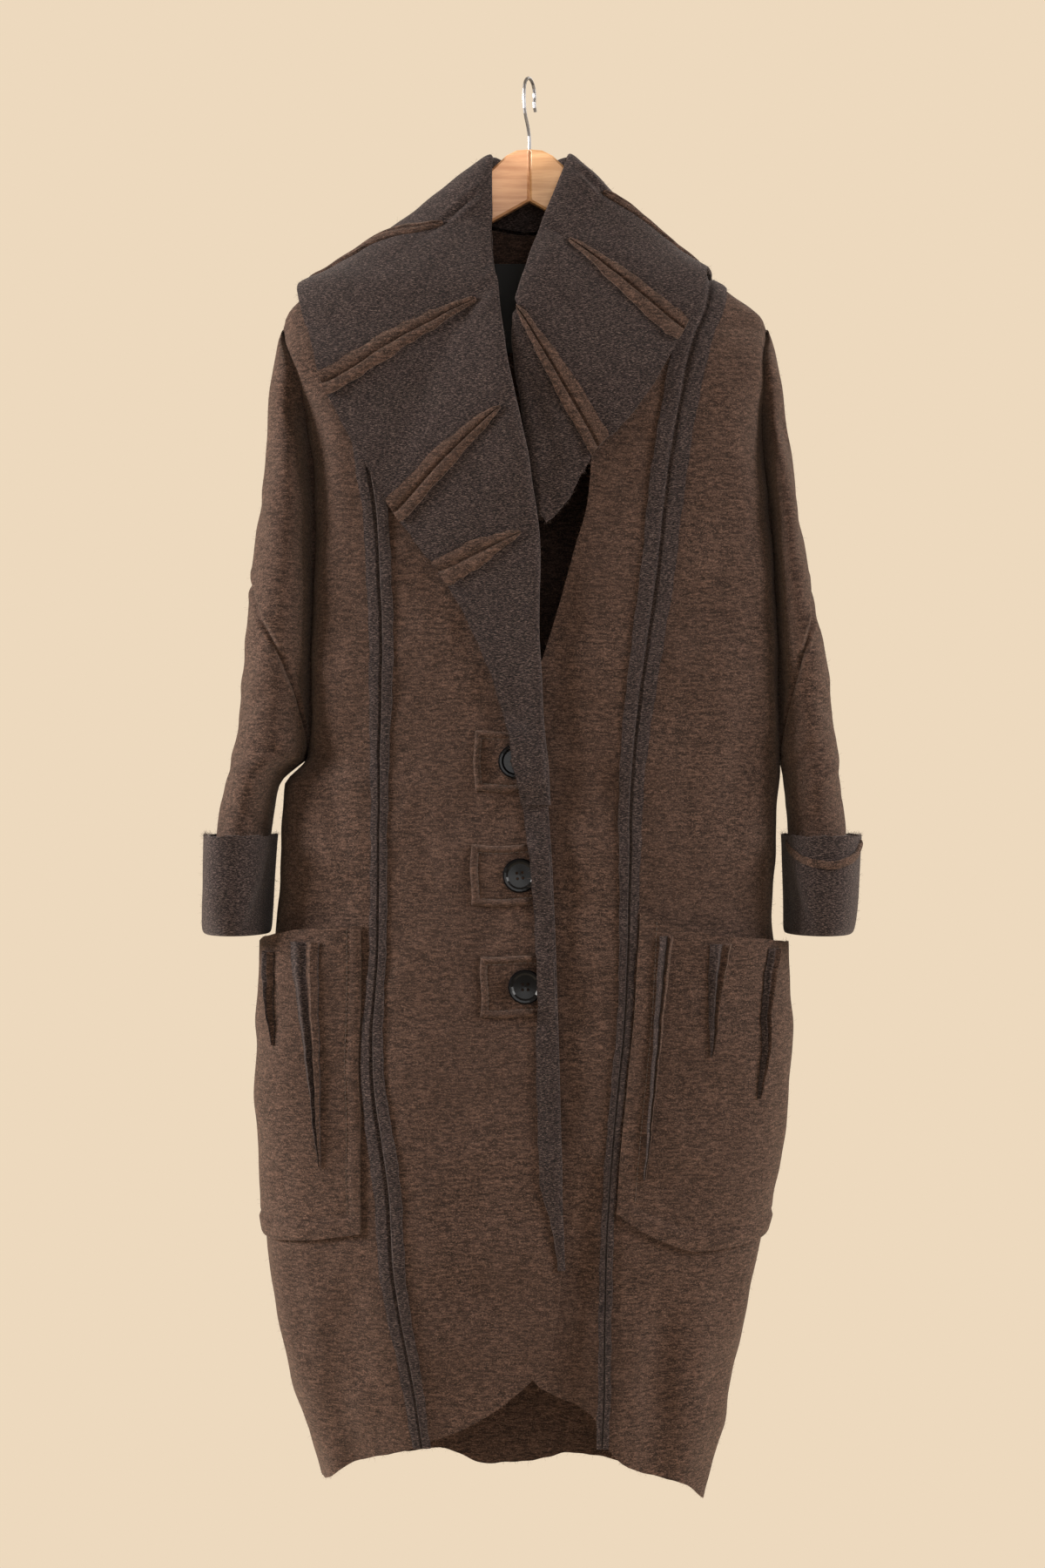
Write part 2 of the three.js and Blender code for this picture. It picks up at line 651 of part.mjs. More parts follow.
function pocket(name, finish, spec) {
  const SHARES = [0, 0.045, 0.05, 0.2, 0.35, 0.5, 0.6, 0.7, 0.8, 0.9, 1];
  const DOWN = [0, 0.2, 0.4, 0.6, 0.8, 0.95, 0.955, 1];
  const pointAt = (i, j, side) => {
    const share = SHARES[i];
    const height = mix(spec.top(share), spec.bottom(share), DOWN[j]);
    const raised = (i <= 1 || j >= DOWN.length - 2) && side === 1 ? 1.4 : 0;
    const lift = spec.seat + pocketHollow(spec, share, height) + (side === 1 ? CLOTH : 0) + raised;
    return onCoat(pocketTurn(spec, share, height), height, lift);
  };
  addMesh(name, wallGeometry(SHARES.length - 1, DOWN.length - 1, pointAt), finish);
}

// A pocket dart: raw allowances that narrow to a point down the pocket
function pocketDart(name, finish, spec, { from, to, tip, top, end }) {
  const columns = 2;
  const rows = 5;
  const pointAt = (i, j, side) => {
    const share = j / rows;
    const height = mix(top, end, share);
    const x = mix(mix(from, tip - 1, share), mix(to, tip + 1, share), i / columns);
    const turn = turnAt(x, height, -1);
    const start = pocketTurn(spec, 0, height);
    const across = (turn - start) / (pocketTurn(spec, 1, height) - start);
    const ridge = i === 1 ? 1.6 : 0;
    const lift = spec.seat + DART_SEAT + pocketHollow(spec, across, height) + CLOTH + side * (1.8 + ridge);
    return onCoat(turn, height, lift);
  };
  addMesh(name, wallGeometry(columns, rows, pointAt), finish);
}

// Buttons on their tabs
const BUTTONS = [
  { x: -13, height: -650, tabLeft: -51 },
  { x: -9, height: -755, tabLeft: -54 },
  { x: -4, height: -857, tabLeft: -45 },
];

// How far the turned edge has to stand off to pass over tabs and buttons
function buttonRise(x, height) {
  let rise = 0;
  for (const button of BUTTONS) {
    const distance = Math.hypot(x - button.x, height - button.height);
    const near = 1 - smoothStep((distance - BUTTON_RADIUS - 5) / 20);
    rise = Math.max(rise, (BUTTON_HEIGHT + TAB_THICKNESS) * near);
  }
  return rise;
}

function buttonTab(name, finish, button) {
  const borders = (length) => (
    [0, TAB_BORDER, TAB_BORDER + 1, length - TAB_BORDER - 1, length - TAB_BORDER, length]
  );
  const ACROSS = borders(TAB_WIDTH);
  const DOWN = borders(TAB_HEIGHT);
  const middle = (index) => index >= 2 && index <= 3;
  const pointAt = (i, j, side) => {
    const height = button.height + TAB_HEIGHT / 2 - DOWN[j];
    const share = ACROSS[i] / TAB_WIDTH;
    const x = mix(button.tabLeft, Math.min(button.tabLeft + TAB_WIDTH, LEFT_EDGE(height) - 2), share);
    const top = middle(i) && middle(j) ? TAB_THICKNESS : TAB_THICKNESS + TAB_WELT;
    return onCoatAt(x, height, -1, LAID_GAP + side * top);
  };
  addMesh(name, wallGeometry(ACROSS.length - 1, DOWN.length - 1, pointAt), finish);
}

function asSolid(geometry) {
  const bare = geometry.clone();
  bare.deleteAttribute('normal');
  bare.deleteAttribute('uv');
  const merged = mergeVertices(bare, 1e-4);
  return new wasm.Manifold(new wasm.Mesh({
    numProp: 3,
    vertProperties: new Float32Array(merged.attributes.position.array),
    triVerts: new Uint32Array(merged.index.array),
  }));
}

function asGeometry(solid) {
  const { vertProperties, triVerts } = solid.getMesh();
  const geometry = new THREE.BufferGeometry();
  geometry.setAttribute('position', new THREE.BufferAttribute(new Float32Array(vertProperties), 3));
  geometry.setIndex(new THREE.BufferAttribute(new Uint32Array(triVerts), 1));
  geometry.computeVertexNormals();
  return geometry;
}

// A four-hole button with a raised rim, its axis along Y
function buttonGeometry() {
  const R = BUTTON_RADIUS;
  const H = BUTTON_HEIGHT;
  const profile = [[0, 0], [R - 2.5, 0], [R - 0.4, 1.2], [R, 2.4], [R - 1.4, H], [R - 3.2, H - 0.2],
    [R - 5, H - 1.6], [0, H - 1.9]];
  let solid = asSolid(new THREE.LatheGeometry(profile.map(([x, y]) => new THREE.Vector2(x, y)), 20));
  for (let k = 0; k < 4; k += 1) {
    const angle = Math.PI / 4 + (k * Math.PI) / 2;
    const hole = new THREE.CylinderGeometry(1.5, 1.5, 3 * H, 6);
    hole.translate(3.6 * Math.cos(angle), 0, 3.6 * Math.sin(angle));
    solid = solid.subtract(asSolid(hole));
  }
  return asGeometry(solid);
}

function button(name, finish, geometry, place) {
  const mesh = addMesh(name, geometry, finish);
  const foot = onCoatAt(place.x, place.height, -1, 0);
  const outward = onCoatAt(place.x, place.height, -1, 1).sub(foot).normalize();
  mesh.position.copy(foot).addScaledVector(outward, LAID_GAP + TAB_THICKNESS + 0.8);
  mesh.quaternion.setFromUnitVectors(new THREE.Vector3(0, 1, 0), outward);
}

// The turned-back edge of the left front, below the collar
const EDGE_STRIP_INNER = smoothCurve([
  [-690, -7], [-725, -2], [-767, 2], [-811, 5], [-875, 7], [-911, 6], [-1030, 9], [-1087, 22], [-1125, 27],
]);

function edgeFold(height, place, side) {
  const edge = LEFT_EDGE(height) + 1.4;
  const inner = EDGE_STRIP_INNER(height);
  const base = LAID_GAP + 3;
  if (place === 0) {
    const outside = side === 1;
    const start = onCoatAt(edge, height, -1, outside ? -CLOTH : 0.4);
    start.x += outside ? 3.4 : 0.4;
    return start;
  }
  const x = mix(edge + (side === 1 ? 2.2 : 0), inner, (place - 1) / 4);
  const round = place === 1 ? 1 : 0;
  const lift = base + buttonRise(x, height) - round + side * (CLOTH - 0.5 * round);
  return onCoatAt(x, height, -1, lift);
}

function frontEdgeStrip(name, finish) {
  const rows = 20;
  const pointAt = (i, j, side) => {
    const height = mix(COLLAR_END - 3 * SEAM_GAP, EDGE_STRIP_END, j / rows);
    return edgeFold(height, i, side);
  };
  addMesh(name, wallGeometry(5, rows, pointAt), finish);
}

// The collar: stations from the middle of the back, over the shoulder and down the front.
// neck and edge lie on the coat, at the back (face 1) or the front (face -1), and roll is free.
const COLLAR_COLUMNS = ['face', 'neckX', 'neckZ', 'rollX', 'rollY', 'rollZ', 'edgeX', 'edgeZ', 'lift'];
const COLLARS = {
  left: [
    [1, -1.4, -141, -1.4, 47, -76, -1.4, -262, 6],
    [1, -30, -137, -20, 41, -73, -95, -272, 6],
    [1, -56, -130, -32, 25, -71, -160, -262, 2],
    [1, -64, -127, -36, 12, -73, -200, -238, -3],
    [-1, -70, -125, -38, -12, -77, -209, -206, -1],
    [-1, -69, -143, -38, -29, -108, -203, -252, 3],
    [-1, -68, -165, -36, -40, -150, -190, -301, 0],
    [-1, -63, -215, -31, -74, -212, -158, -362, 4],
    [-1, -54, -282, -22, -99, -284, -125, -420, 5],
    [-1, -25, -368, -7, -106, -355, -98, -456, 4],
    [-1, 3.5, -440, 6, -99, -440, -81, -480, 1],
    [-1, 4, -520, 6, -101, -520, -50, -535, 1],
    [-1, 8, -600, 10, -103, -600, -24, -606, 0],
    [-1, 12.5, -650, 14, -104, -650, -16, -650, 0],
    [-1, 15, -690, 17, -105, -690, -7, -690, 0],
  ],
  right: [
    [1, 1.4, -141, 1.4, 47, -76, 1.4, -262, 6],
    [1, 30, -137, 20, 41, -73, 95, -272, 6],
    [1, 56, -130, 33, 25, -71, 145, -262, 2],
    [1, 64, -127, 36, 12, -73, 163, -226, -2],
    [-1, 70, -125, 38, -13, -76, 164, -191, -1],
    [-1, 67, -145, 27, -32, -107, 155, -224, 3],
    [-1, 66, -165, 9, -48, -154, 140, -256, 2],
    [-1, 60, -225, -7, -72, -206, 100, -322, 4],
    [-1, 56, -290, -14, -85, -255, 63, -360, 4],
    [-1, 53, -330, -5, -89, -320, 48, -386, 2],
    [-1, 51, -350, 5, -92, -385, 32, -413, 0],
    [-1, 47, -372, 11, -93, -422, 15, -430, 0],
  ],
};

function namedStation(row) {
  return Object.fromEntries(COLLAR_COLUMNS.map((name, index) => [name, row[index]]));
}

function rollOf(row) {
  const { rollX, rollY, rollZ } = namedStation(row);
  return new THREE.Vector3(rollX, rollY, rollZ);
}

// The points across the collar at one station: neck, stand, roll, two puffed ones and the edge
function collarStation(rows, index) {
  const station = namedStation(rows[index]);
  const neck = onCoatAt(station.neckX, station.neckZ, station.face, 0.2);
  if (station.face > 0) neck.z += 2;
  const roll = rollOf(rows[index]);
  const edge = onCoatAt(station.edgeX, station.edgeZ, station.face, COLLAR_CLEARANCE);
  const before = rollOf(rows[Math.max(0, index - 1)]);
  const after = rollOf(rows[Math.min(rows.length - 1, index + 1)]);
  const along = index === 0 ? new THREE.Vector3(1, 0, 0) : after.sub(before);
  const out = along.cross(edge.clone().sub(roll)).normalize();
  const fromMiddle = roll.clone().add(edge).multiplyScalar(0.5).sub(new THREE.Vector3(0, 0, roll.z - 150));
  if (out.dot(fromMiddle) < 0) out.negate();
  const stand = neck.clone().lerp(roll, 0.72);
  const first = roll.clone().lerp(edge, 0.12).addScaledVector(out, 0.5 * station.lift + 2);
  const half = roll.clone().lerp(edge, 0.52).addScaledVector(out, station.lift);
  return [neck, stand, roll, first, half, edge];
}

function catmull(p0, p1, p2, p3, s) {
  const s2 = s * s;
  const s3 = s2 * s;
  return new THREE.Vector3()
    .addScaledVector(p0, 0.5 * (-s3 + 2 * s2 - s))
    .addScaledVector(p1, 0.5 * (3 * s3 - 5 * s2 + 2))
    .addScaledVector(p2, 0.5 * (-3 * s3 + 4 * s2 + s))
    .addScaledVector(p3, 0.5 * (s3 - s2));
}

function alongPoints(points, place) {
  const last = points.length - 1;
  const at = clamp(place, 0, last);
  const i = Math.min(last - 1, Math.floor(at));
  return catmull(points[Math.max(0, i - 1)], points[i], points[i + 1], points[Math.min(last, i + 2)], at - i);
}

// Places across the collar: 0 neck seam, 2 roll line, 5 outer edge
function collarSurface(rows) {
  const stations = rows.map((_, index) => collarStation(rows, index));
  const raw = (u, v) => alongPoints(stations.map((station) => alongPoints(station, v)), u);
  return (u, v) => {
    const point = raw(u, v);
    if (v <= 2) return point;
    const passing = point.y < 0 && point.z < -600 ? buttonRise(point.x, point.z) : 0;
    const share = smoothStep((v - 2) / 1.2);
    const below = smoothStep((COLLAR_FREE_ABOVE - point.z) / 20);
    const overShoulder = 3.5 * Math.exp(-(((u - 4.2) / 1.5) ** 2));
    const pushed = clearOfCoat(point.clone(), share * (COLLAR_CLEARANCE + passing + overShoulder));
    return point.lerp(pushed, below);
  };
}

// The collar's grid, closer where it bends over the shoulder
const COLLAR_ACROSS = [0, 1, 1.6, 2, 2.4, 2.8, 3.2, 3.6, 4, 4.5, 5];

function collarColumns(rows) {
  const end = rows.length - 1;
  const places = [];
  let place = 0;
  while (place < end) {
    places.push(place);
    place += place >= 3 && place < 5 ? 0.25 : 0.5;
  }
  return [...places, end];
}

// The two faces of the collar. sign is -1 on the left and 1 on the right, so that side 1 is outside.
function collarGrid(rows, sign) {
  const surface = collarSurface(rows);
  const columns = collarColumns(rows);
  const under = columns.map((u) => COLLAR_ACROSS.map((v) => surface(u, v)));
  const at = (i, j) => under[clamp(i, 0, columns.length - 1)][clamp(j, 0, COLLAR_ACROSS.length - 1)];
  const outer = under.map((column, i) => column.map((point, j) => {
    const along = at(i + 1, j).clone().sub(at(i - 1, j));
    const across = at(i, j + 1).clone().sub(at(i, j - 1));
    return point.clone().addScaledVector(along.cross(across).normalize(), sign * CLOTH);
  }));
  for (const point of [...under[0], ...outer[0]]) point.x = (sign * SEAM_GAP) / 2;
  return { columns, faces: [under, outer] };
}

function collar(name, finish, grid) {
  const pointAt = (i, j, side) => grid.faces[side][i][j].clone();
  addMesh(name, wallGeometry(grid.columns.length - 1, COLLAR_ACROSS.length - 1, pointAt), finish);
}

// A point on the facets of the collar's outer side, lifted off them
function onCollar(grid, u, v, lift) {
  const cell = (places, at) => {
    let k = 0;
    while (k < places.length - 2 && at > places[k + 1]) k += 1;
    return [k, (at - places[k]) / (places[k + 1] - places[k])];
  };
  const [i, s] = cell(grid.columns, u);
  const [j, t] = cell(COLLAR_ACROSS, v);
  const outer = grid.faces[1];
  const near = outer[i][j];
  const far = outer[i + 1][j + 1];
  const corner = s >= t ? outer[i + 1][j] : outer[i][j + 1];
  const along = s >= t ? corner.clone().sub(near) : far.clone().sub(corner);
  const down = s >= t ? far.clone().sub(corner) : corner.clone().sub(near);
  const outward = near.clone().sub(grid.faces[0][i][j]);
  const normal = along.clone().cross(down).normalize();
  if (normal.dot(outward) < 0) normal.negate();
  return near.clone().addScaledVector(along, s).addScaledVector(down, t).addScaledVector(normal, lift);
}

// A collar dart: two raw allowances side by side, from a point near the roll to the outer edge
function collarDart(name, finish, grid, { station, tipStation, tip, width, lift = 1 }) {
  const ACROSS = [{ place: -0.5, height: 2.6 }, { place: -0.1, height: 2.8 }, { place: 0, height: 1.2 },
    { place: 0.1, height: 2.8 }, { place: 0.5, height: 2.6 }];
  const crossed = [tip, ...COLLAR_ACROSS.filter((v) => v > tip + 0.1)];
  const places = crossed.flatMap((v, j) => (j === 0 ? [v] : [mix(crossed[j - 1], v, 0.5), v]));
  const pointAt = (i, j, side) => {
    const v = places[j];
    const share = (v - tip) / (5 - tip);
    const middle = mix(tipStation, station, share);
    const spread = onCollar(grid, middle + 0.1, v, 0).distanceTo(onCollar(grid, middle - 0.1, v, 0)) / 0.2;
    const opening = mix(3, width, Math.min(1, share * 1.7) ** 0.8);
    const u = middle + (ACROSS[i].place * opening) / spread;
    return onCollar(grid, u, v, lift * LAID_GAP + side * ACROSS[i].height);
  };
  addMesh(name, wallGeometry(ACROSS.length - 1, places.length - 1, pointAt), finish);
}

// The label hangs inside the back of the neck
function neckLabel(name, finish) {
  const pointAt = (i, j, side) => {
    const x = mix(-36, -2, i / 2);
    const height = mix(-167, -250, j / 4);
    return onCoatAt(x, height, 1, -CLOTH - 2 * LAID_GAP - 1.2 * side);
  };
  addMesh(name, wallGeometry(2, 4, pointAt), finish);
}

// The hanger: two arms that the shoulders rest on, and a wire hook over the rail
function hangerArm(name, finish, sign) {
  const outline = new THREE.Shape();
  const rest = (x) => {
    const slope = (ridgeHeight(sign * (x + 2)) - ridgeHeight(sign * (x - 2))) / 4;
    return ridgeHeight(sign * x) - (CLOTH + SEAM_GAP) * Math.sqrt(1 + slope * slope) - HANGER_REST_DROP;
  };
  const top = [[0.2, -67], [12, -68], [22, -73], [37, -87], [48, -104], [60, -124], [72, -137]];
  for (let x = 84; x <= 204; x += 15) top.push([x, rest(x)]);
  const tip = top[top.length - 1];
  const bottom = [[tip[0] + 5, tip[1] - 6], [tip[0] + 3, tip[1] - 15], [tip[0] - 4, tip[1] - 17],
    [180, -222], [130, -194], [91, -170], [36, -136], [0.2, -116]];
  outline.setFromPoints([...top, ...bottom].map(([x, z]) => new THREE.Vector2(sign * x, z)));
  const bevel = 2;
  const geometry = new THREE.ExtrudeGeometry(outline, {
    depth: HANGER_THICKNESS - 2 * bevel, steps: 1, bevelEnabled: true, bevelSize: bevel,
    bevelThickness: bevel, bevelOffset: -bevel, bevelSegments: 1,
  });
  geometry.translate(0, 0, -(HANGER_THICKNESS - 2 * bevel) / 2);
  geometry.rotateX(Math.PI / 2);
  addMesh(name, geometry, finish);
}

function hangerHook(name, finish) {
  const radius = HOOK_INSIDE_RADIUS + HOOK_WIRE / 2;
  const centre = -HOOK_INSIDE_RADIUS;
  const points = [[0, -66.6], [0, -56], [-4, -46], [-12, -34], [-radius - 0.3, -22]];
  for (let k = 0; k <= 8; k += 1) {
    const angle = Math.PI - (k * Math.PI) / 8;
    points.push([radius * Math.cos(angle), centre + radius * Math.sin(angle)]);
  }
  points.push([radius - 1, centre - 8], [radius + 2, centre - 14]);
  const path = new THREE.CatmullRomCurve3(points.map(([y, z]) => new THREE.Vector3(0, y, z)));
  const section = new THREE.Shape();
  section.absarc(0, 0, HOOK_WIRE / 2, 0, 2 * Math.PI, false);
  const geometry = new THREE.ExtrudeGeometry(section, {
    steps: 26, bevelEnabled: false, extrudePath: path, curveSegments: 4,
  });
  geometry.rotateZ(HOOK_TURN);
  addMesh(name, geometry, finish);
}

// Everything in its place
hangerArm('hanger_arm_left', WOOD, -1);
hangerArm('hanger_arm_right', WOOD, 1);
hangerHook('hanger_hook', STEEL);

const halfGap = SEAM_GAP / 2;
centrePanel('back_center', BROWN, [shifted(SEAMS.backLeft, halfGap), shifted(SEAMS.backRight, -halfGap)], 1,
  HEMS.back, { columns: 10 });
centrePanel('front_left_center', BROWN, [shifted(SEAMS.frontLeft, halfGap), LEFT_EDGE], -1, HEMS.left,
  { columns: 8 });
centrePanel('front_right_center', BROWN, [RIGHT_EDGE, shifted(SEAMS.frontRight, -halfGap)], -1, HEMS.right,
  { columns: 7, drop: overlapDrop });
sidePanel('front_left_side', BROWN, shifted(SEAMS.frontLeft, -halfGap), SLEEVES.left, -1, HEMS.left);
sidePanel('front_right_side', BROWN, shifted(SEAMS.frontRight, halfGap), SLEEVES.right, -1, HEMS.right);
sidePanel('back_left_side', BROWN, shifted(SEAMS.backLeft, -halfGap), SLEEVES.left, 1, HEMS.back);
sidePanel('back_right_side', BROWN, shifted(SEAMS.backRight, halfGap), SLEEVES.right, 1, HEMS.back);

for (const side of ['left', 'right']) {
  sleeveTube(`sleeve_${side}`, BROWN, SLEEVES[side]);
  cuff(`cuff_${side}`, CHARCOAL, SLEEVES[side]);
}
cuffTrim('cuff_trim_right', BROWN, SLEEVES.right);

seamStrip('seam_strip_front_right', CHARCOAL, SEAMS.frontRight, STRIP_WIDTHS.right, -1, -190, -1284);
seamStrip('seam_strip_front_left', CHARCOAL, SEAMS.frontLeft, STRIP_WIDTHS.left, -1, -190, -1281);
seamStrip('seam_strip_back_right', CHARCOAL, SEAMS.backRight, STRIP_WIDTHS.back, 1, -190, -1326);
seamStrip('seam_strip_back_left', CHARCOAL, SEAMS.backLeft, STRIP_WIDTHS.back, 1, -190, -1318);

const leftCollar = collarGrid(COLLARS.left, -1);
const rightCollar = collarGrid(COLLARS.right, 1);
collar('collar_left', CHARCOAL, leftCollar);
collar('collar_right', CHARCOAL, rightCollar);

const LEFT_DARTS = [
  { name: 'back', tipStation: 1.4, station: 1.6, tip: 3.2, width: 22, lift: 2.4 },
  { name: 'shoulder', tipStation: 5, station: 3.5, tip: 3.4, width: 24, lift: 4.5 },
  { name: 'upper', tipStation: 6.9, station: 5.98, tip: 3, width: 24 },
  { name: 'middle', tipStation: 8.42, station: 8, tip: 2.9, width: 25 },
  { name: 'lower', tipStation: 9.9, station: 9.86, tip: 3.1, width: 26 },
];
const RIGHT_DARTS = [
  { name: 'back', tipStation: 1.4, station: 1.6, tip: 3.2, width: 22, lift: 2.4 },
  { name: 'shoulder', tipStation: 4.4, station: 3.4, tip: 3.4, width: 22, lift: 3.6 },
  { name: 'upper', tipStation: 5.8, station: 5.9, tip: 3.2, width: 24 },
  { name: 'lower', tipStation: 7.45, station: 8, tip: 2.3, width: 26, lift: 1.8 },
];
for (const dart of LEFT_DARTS) collarDart(`collar_dart_left_${dart.name}`, BROWN, leftCollar, dart);
for (const dart of RIGHT_DARTS) collarDart(`collar_dart_right_${dart.name}`, BROWN, rightCollar, dart);

frontEdgeStrip('front_edge_strip', CHARCOAL);

pocket('pocket_left', BROWN, POCKETS.left);
pocket('pocket_right', BROWN, POCKETS.right);
const POCKET_DARTS = [
  { name: 'left_1', side: 'left', from: -212, to: -189, tip: -190, top: -818, end: -1024 },
  { name: 'left_2', side: 'left', from: -234, to: -224, tip: -227, top: -828, end: -915 },
  { name: 'right_1', side: 'right', from: 118, to: 129, tip: 105, top: -811, end: -1034 },
  { name: 'right_2', side: 'right', from: 160, to: 178, tip: 162, top: -819, end: -922 },
  { name: 'right_3', side: 'right', from: 208, to: 217, tip: 203, top: -824, end: -962 },
];
for (const dart of POCKET_DARTS) pocketDart(`pocket_dart_${dart.name}`, CHARCOAL, POCKETS[dart.side], dart);

const buttonShape = buttonGeometry();
BUTTONS.forEach((place, index) => {
  buttonTab(`button_tab_${index + 1}`, BROWN, place);
  button(`button_${index + 1}`, BUTTON_BLACK, buttonShape, place);
});

neckLabel('neck_label', LABEL_BLACK);

export default coat;
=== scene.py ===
"""A long coat of felted wool on a wooden hanger, dressed for the render.

Sizes are in millimetres, like the part's source, and become metres where a mesh is made.
The front of the coat faces -Y, and left and right are the viewer's.
"""
import math
from types import SimpleNamespace

import bpy
import numpy as np
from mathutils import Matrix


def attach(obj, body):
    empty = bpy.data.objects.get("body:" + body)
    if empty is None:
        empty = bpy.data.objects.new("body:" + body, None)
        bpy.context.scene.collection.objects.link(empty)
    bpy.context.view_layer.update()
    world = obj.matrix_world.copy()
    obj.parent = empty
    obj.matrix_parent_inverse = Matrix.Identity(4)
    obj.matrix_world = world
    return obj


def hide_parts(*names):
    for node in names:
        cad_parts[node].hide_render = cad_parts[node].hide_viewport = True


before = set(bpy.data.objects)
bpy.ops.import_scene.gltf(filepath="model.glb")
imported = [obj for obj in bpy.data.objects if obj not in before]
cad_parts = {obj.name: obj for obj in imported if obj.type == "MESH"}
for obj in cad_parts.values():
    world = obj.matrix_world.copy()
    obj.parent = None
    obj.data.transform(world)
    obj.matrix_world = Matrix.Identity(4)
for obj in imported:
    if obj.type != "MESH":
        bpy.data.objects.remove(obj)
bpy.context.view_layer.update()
scene = bpy.context.scene

MM = 0.001
SEED = 7
rng = np.random.default_rng(SEED)

# Which way a panel faces
FRONT = -1
BACK = 1

# Cloth, stitches and loose fibres
CLOTH = 2.4
SEAM_GAP = 0.3
HALF_GAP = SEAM_GAP / 2
LAID = 0.25
STITCH_LENGTH = 3.2
STITCH_SPACING = 4.8
STITCH_THICKNESS = 0.5
FIBRE_LENGTH = (2, 6)
FIBRE_THICKNESS = 0.11
BROWN_FIBRES = 18000
CHARCOAL_FIBRES = 14000
BROWN_FUZZ = (84, 66, 56)
CHARCOAL_FUZZ = (60, 51, 48)

# Levels of the coat
SHOULDER_TOP = -124.0
SHOULDER_TIP = -245.0
ARMHOLE_TOP = -250
SHOULDER_END = ARMHOLE_TOP + 8
UNDERARM = -646
HEM_SEARCH_TOP = -1000.0
RING_BOTTOM = -1360.0
RIDGE_MARGIN = 1e-5

# Neck, shoulders and the overlap of the fronts
BACK_NECK_DROP = 18
NECK_HALF_WIDTH = 70
SHOULDER_GUSSET = 12
RING_SQUARENESS = 2.5
SIDE_TURN = 0.9992
ARMHOLE_VALLEY = 0.62
VALLEY_TOP = -275
VALLEY_BOTTOM = -638
VALLEY_WIDTH = 20
OVERLAP_DEPTH = 7
OVERLAP_TOP = -380
OVERLAP_FADE = 120
OVERLAP_END = 62
OVERLAP_WIDTH = 44

# Sleeves and cuffs
SLEEVE_SEAM_OUTSIDE = -478
SLEEVE_END = -733
CUFF_TOP = -719
CUFF_FOLD = -812
CUFF_LAP_TOP = -0.9
CUFF_LAP_BOTTOM = -0.6
CUFF_LAP_RISE = 4
CUFF_TUCK = 5
SLEEVE_CREASE_TOP = -262
TRIM_TURNS = (-0.16, -0.86)
TRIM_DROP = 4
TRIM_SAG = 19
TRIM_WIDTH = 7.5
TRIM_LIFT = 16

# Seam strips, collar and its darts
STRIP_TOP = -190
STRIP_HEIGHT = 2.8
COLLAR_CLEARANCE = 6
COLLAR_FREE_ABOVE = -106
COLLAR_END = -690
COLLAR_ROLL = 2
COLLAR_EDGE = 5.0
DART_STEP = 0.06
DART_REACH = 0.9
DART_THICKNESS = 3.6
DART_END_LIFT = 2.2

# Front edge, tabs and buttons
EDGE_STRIP_END = -1118
BUTTONS_BELOW = -600
BUTTON_RADIUS = 16
BUTTON_HEIGHT = 4
TAB_WIDTH = 68
TAB_HEIGHT = 56
TAB_BORDER = 6.5

# Pockets, with the stitched lines as shares across and down
POCKET_GAPE = 15
POCKET_WELT = 1.9
POCKET_WELT_LINE = 0.048
POCKET_HEM_LINE = 0.938
BROWN_FLAP_COLUMN = 9

# Neck label
LABEL_SIDES = (-36, -2)
LABEL_TOP = -167
LABEL_BOTTOM = -250
LABEL_CURL = 1.5
LABEL_THICKNESS = 0.9

# Hanger's glue line, as a share of the wood's section
GLUE_LINE_SHARE = 0.985

# How finely the pieces are divided
TOP_ROWS = 26
ARMHOLE_ROWS = 64
LOWER_ROWS = 112
ROW_COUNT = TOP_ROWS + ARMHOLE_ROWS + LOWER_ROWS
SIDE_COLUMNS = 18
SLEEVE_COLUMNS = 26
SLEEVE_ROWS = 72
CUFF_COLUMNS = 88
CUFF_STEPS = 54

# The photograph's camera, in metres
CAMERA_PLACE = (-0.0066, -3.0, -0.6706)
CAMERA_LENS = 72.3
SENSOR_WIDTH = 36

# Studio: name, place in metres, size, power and colour of each light, and what they look at
LIGHTS = [
    ("key", (-3.4, -0.65, 0.35), 1.2, 320, (1.0, 0.96, 0.92)),
    ("fill", (3.25, -1.15, 0.4), 1.6, 205, (1.0, 0.98, 0.96)),
    ("front", (0.3, -3.2, -0.2), 1.0, 24, (1, 1, 1)),
    ("rim", (1.2, 2.4, 1.2), 1.6, 18, (1, 1, 1)),
]
LIGHT_TARGET = (0, 0, -0.7)
BACKDROP = (237, 217, 190)
FLOOR_RADIUS = 2.1
FLOOR_LEVEL = -2.0


# Curves through short tables
def mix(start, end, share):
    return start + (end - start) * share


def smooth_step(share):
    """Eases from 0 to 1 as share goes from 0 to 1."""
    s = np.clip(share, 0, 1)
    return s * s * (3 - 2 * s)


def smooth_curve(points):
    """A curve through points that never overshoots between them."""
    points = sorted(points)
    keys = np.array([p[0] for p in points], float)
    values = np.array([p[1] for p in points], float)
    slopes = np.diff(values) / np.diff(keys)
    before, after = slopes[:-1], slopes[1:]
    same = before * after > 0
    inner = np.where(same, 2 * before * after / np.where(same, before + after, 1), 0)
    tangents = np.concatenate([slopes[:1], inner, slopes[-1:]])

    def curve(key):
        x = np.clip(key, keys[0], keys[-1])
        i = np.clip(np.searchsorted(keys, x, side="right") - 1, 0, len(keys) - 2)
        span = keys[i + 1] - keys[i]
        s = (x - keys[i]) / span
        s2 = s * s
        s3 = s2 * s
        return ((2 * s3 - 3 * s2 + 1) * values[i] + (s3 - 2 * s2 + s) * span * tangents[i]
                + (3 * s2 - 2 * s3) * values[i + 1] + (s3 - s2) * span * tangents[i + 1])

    return curve


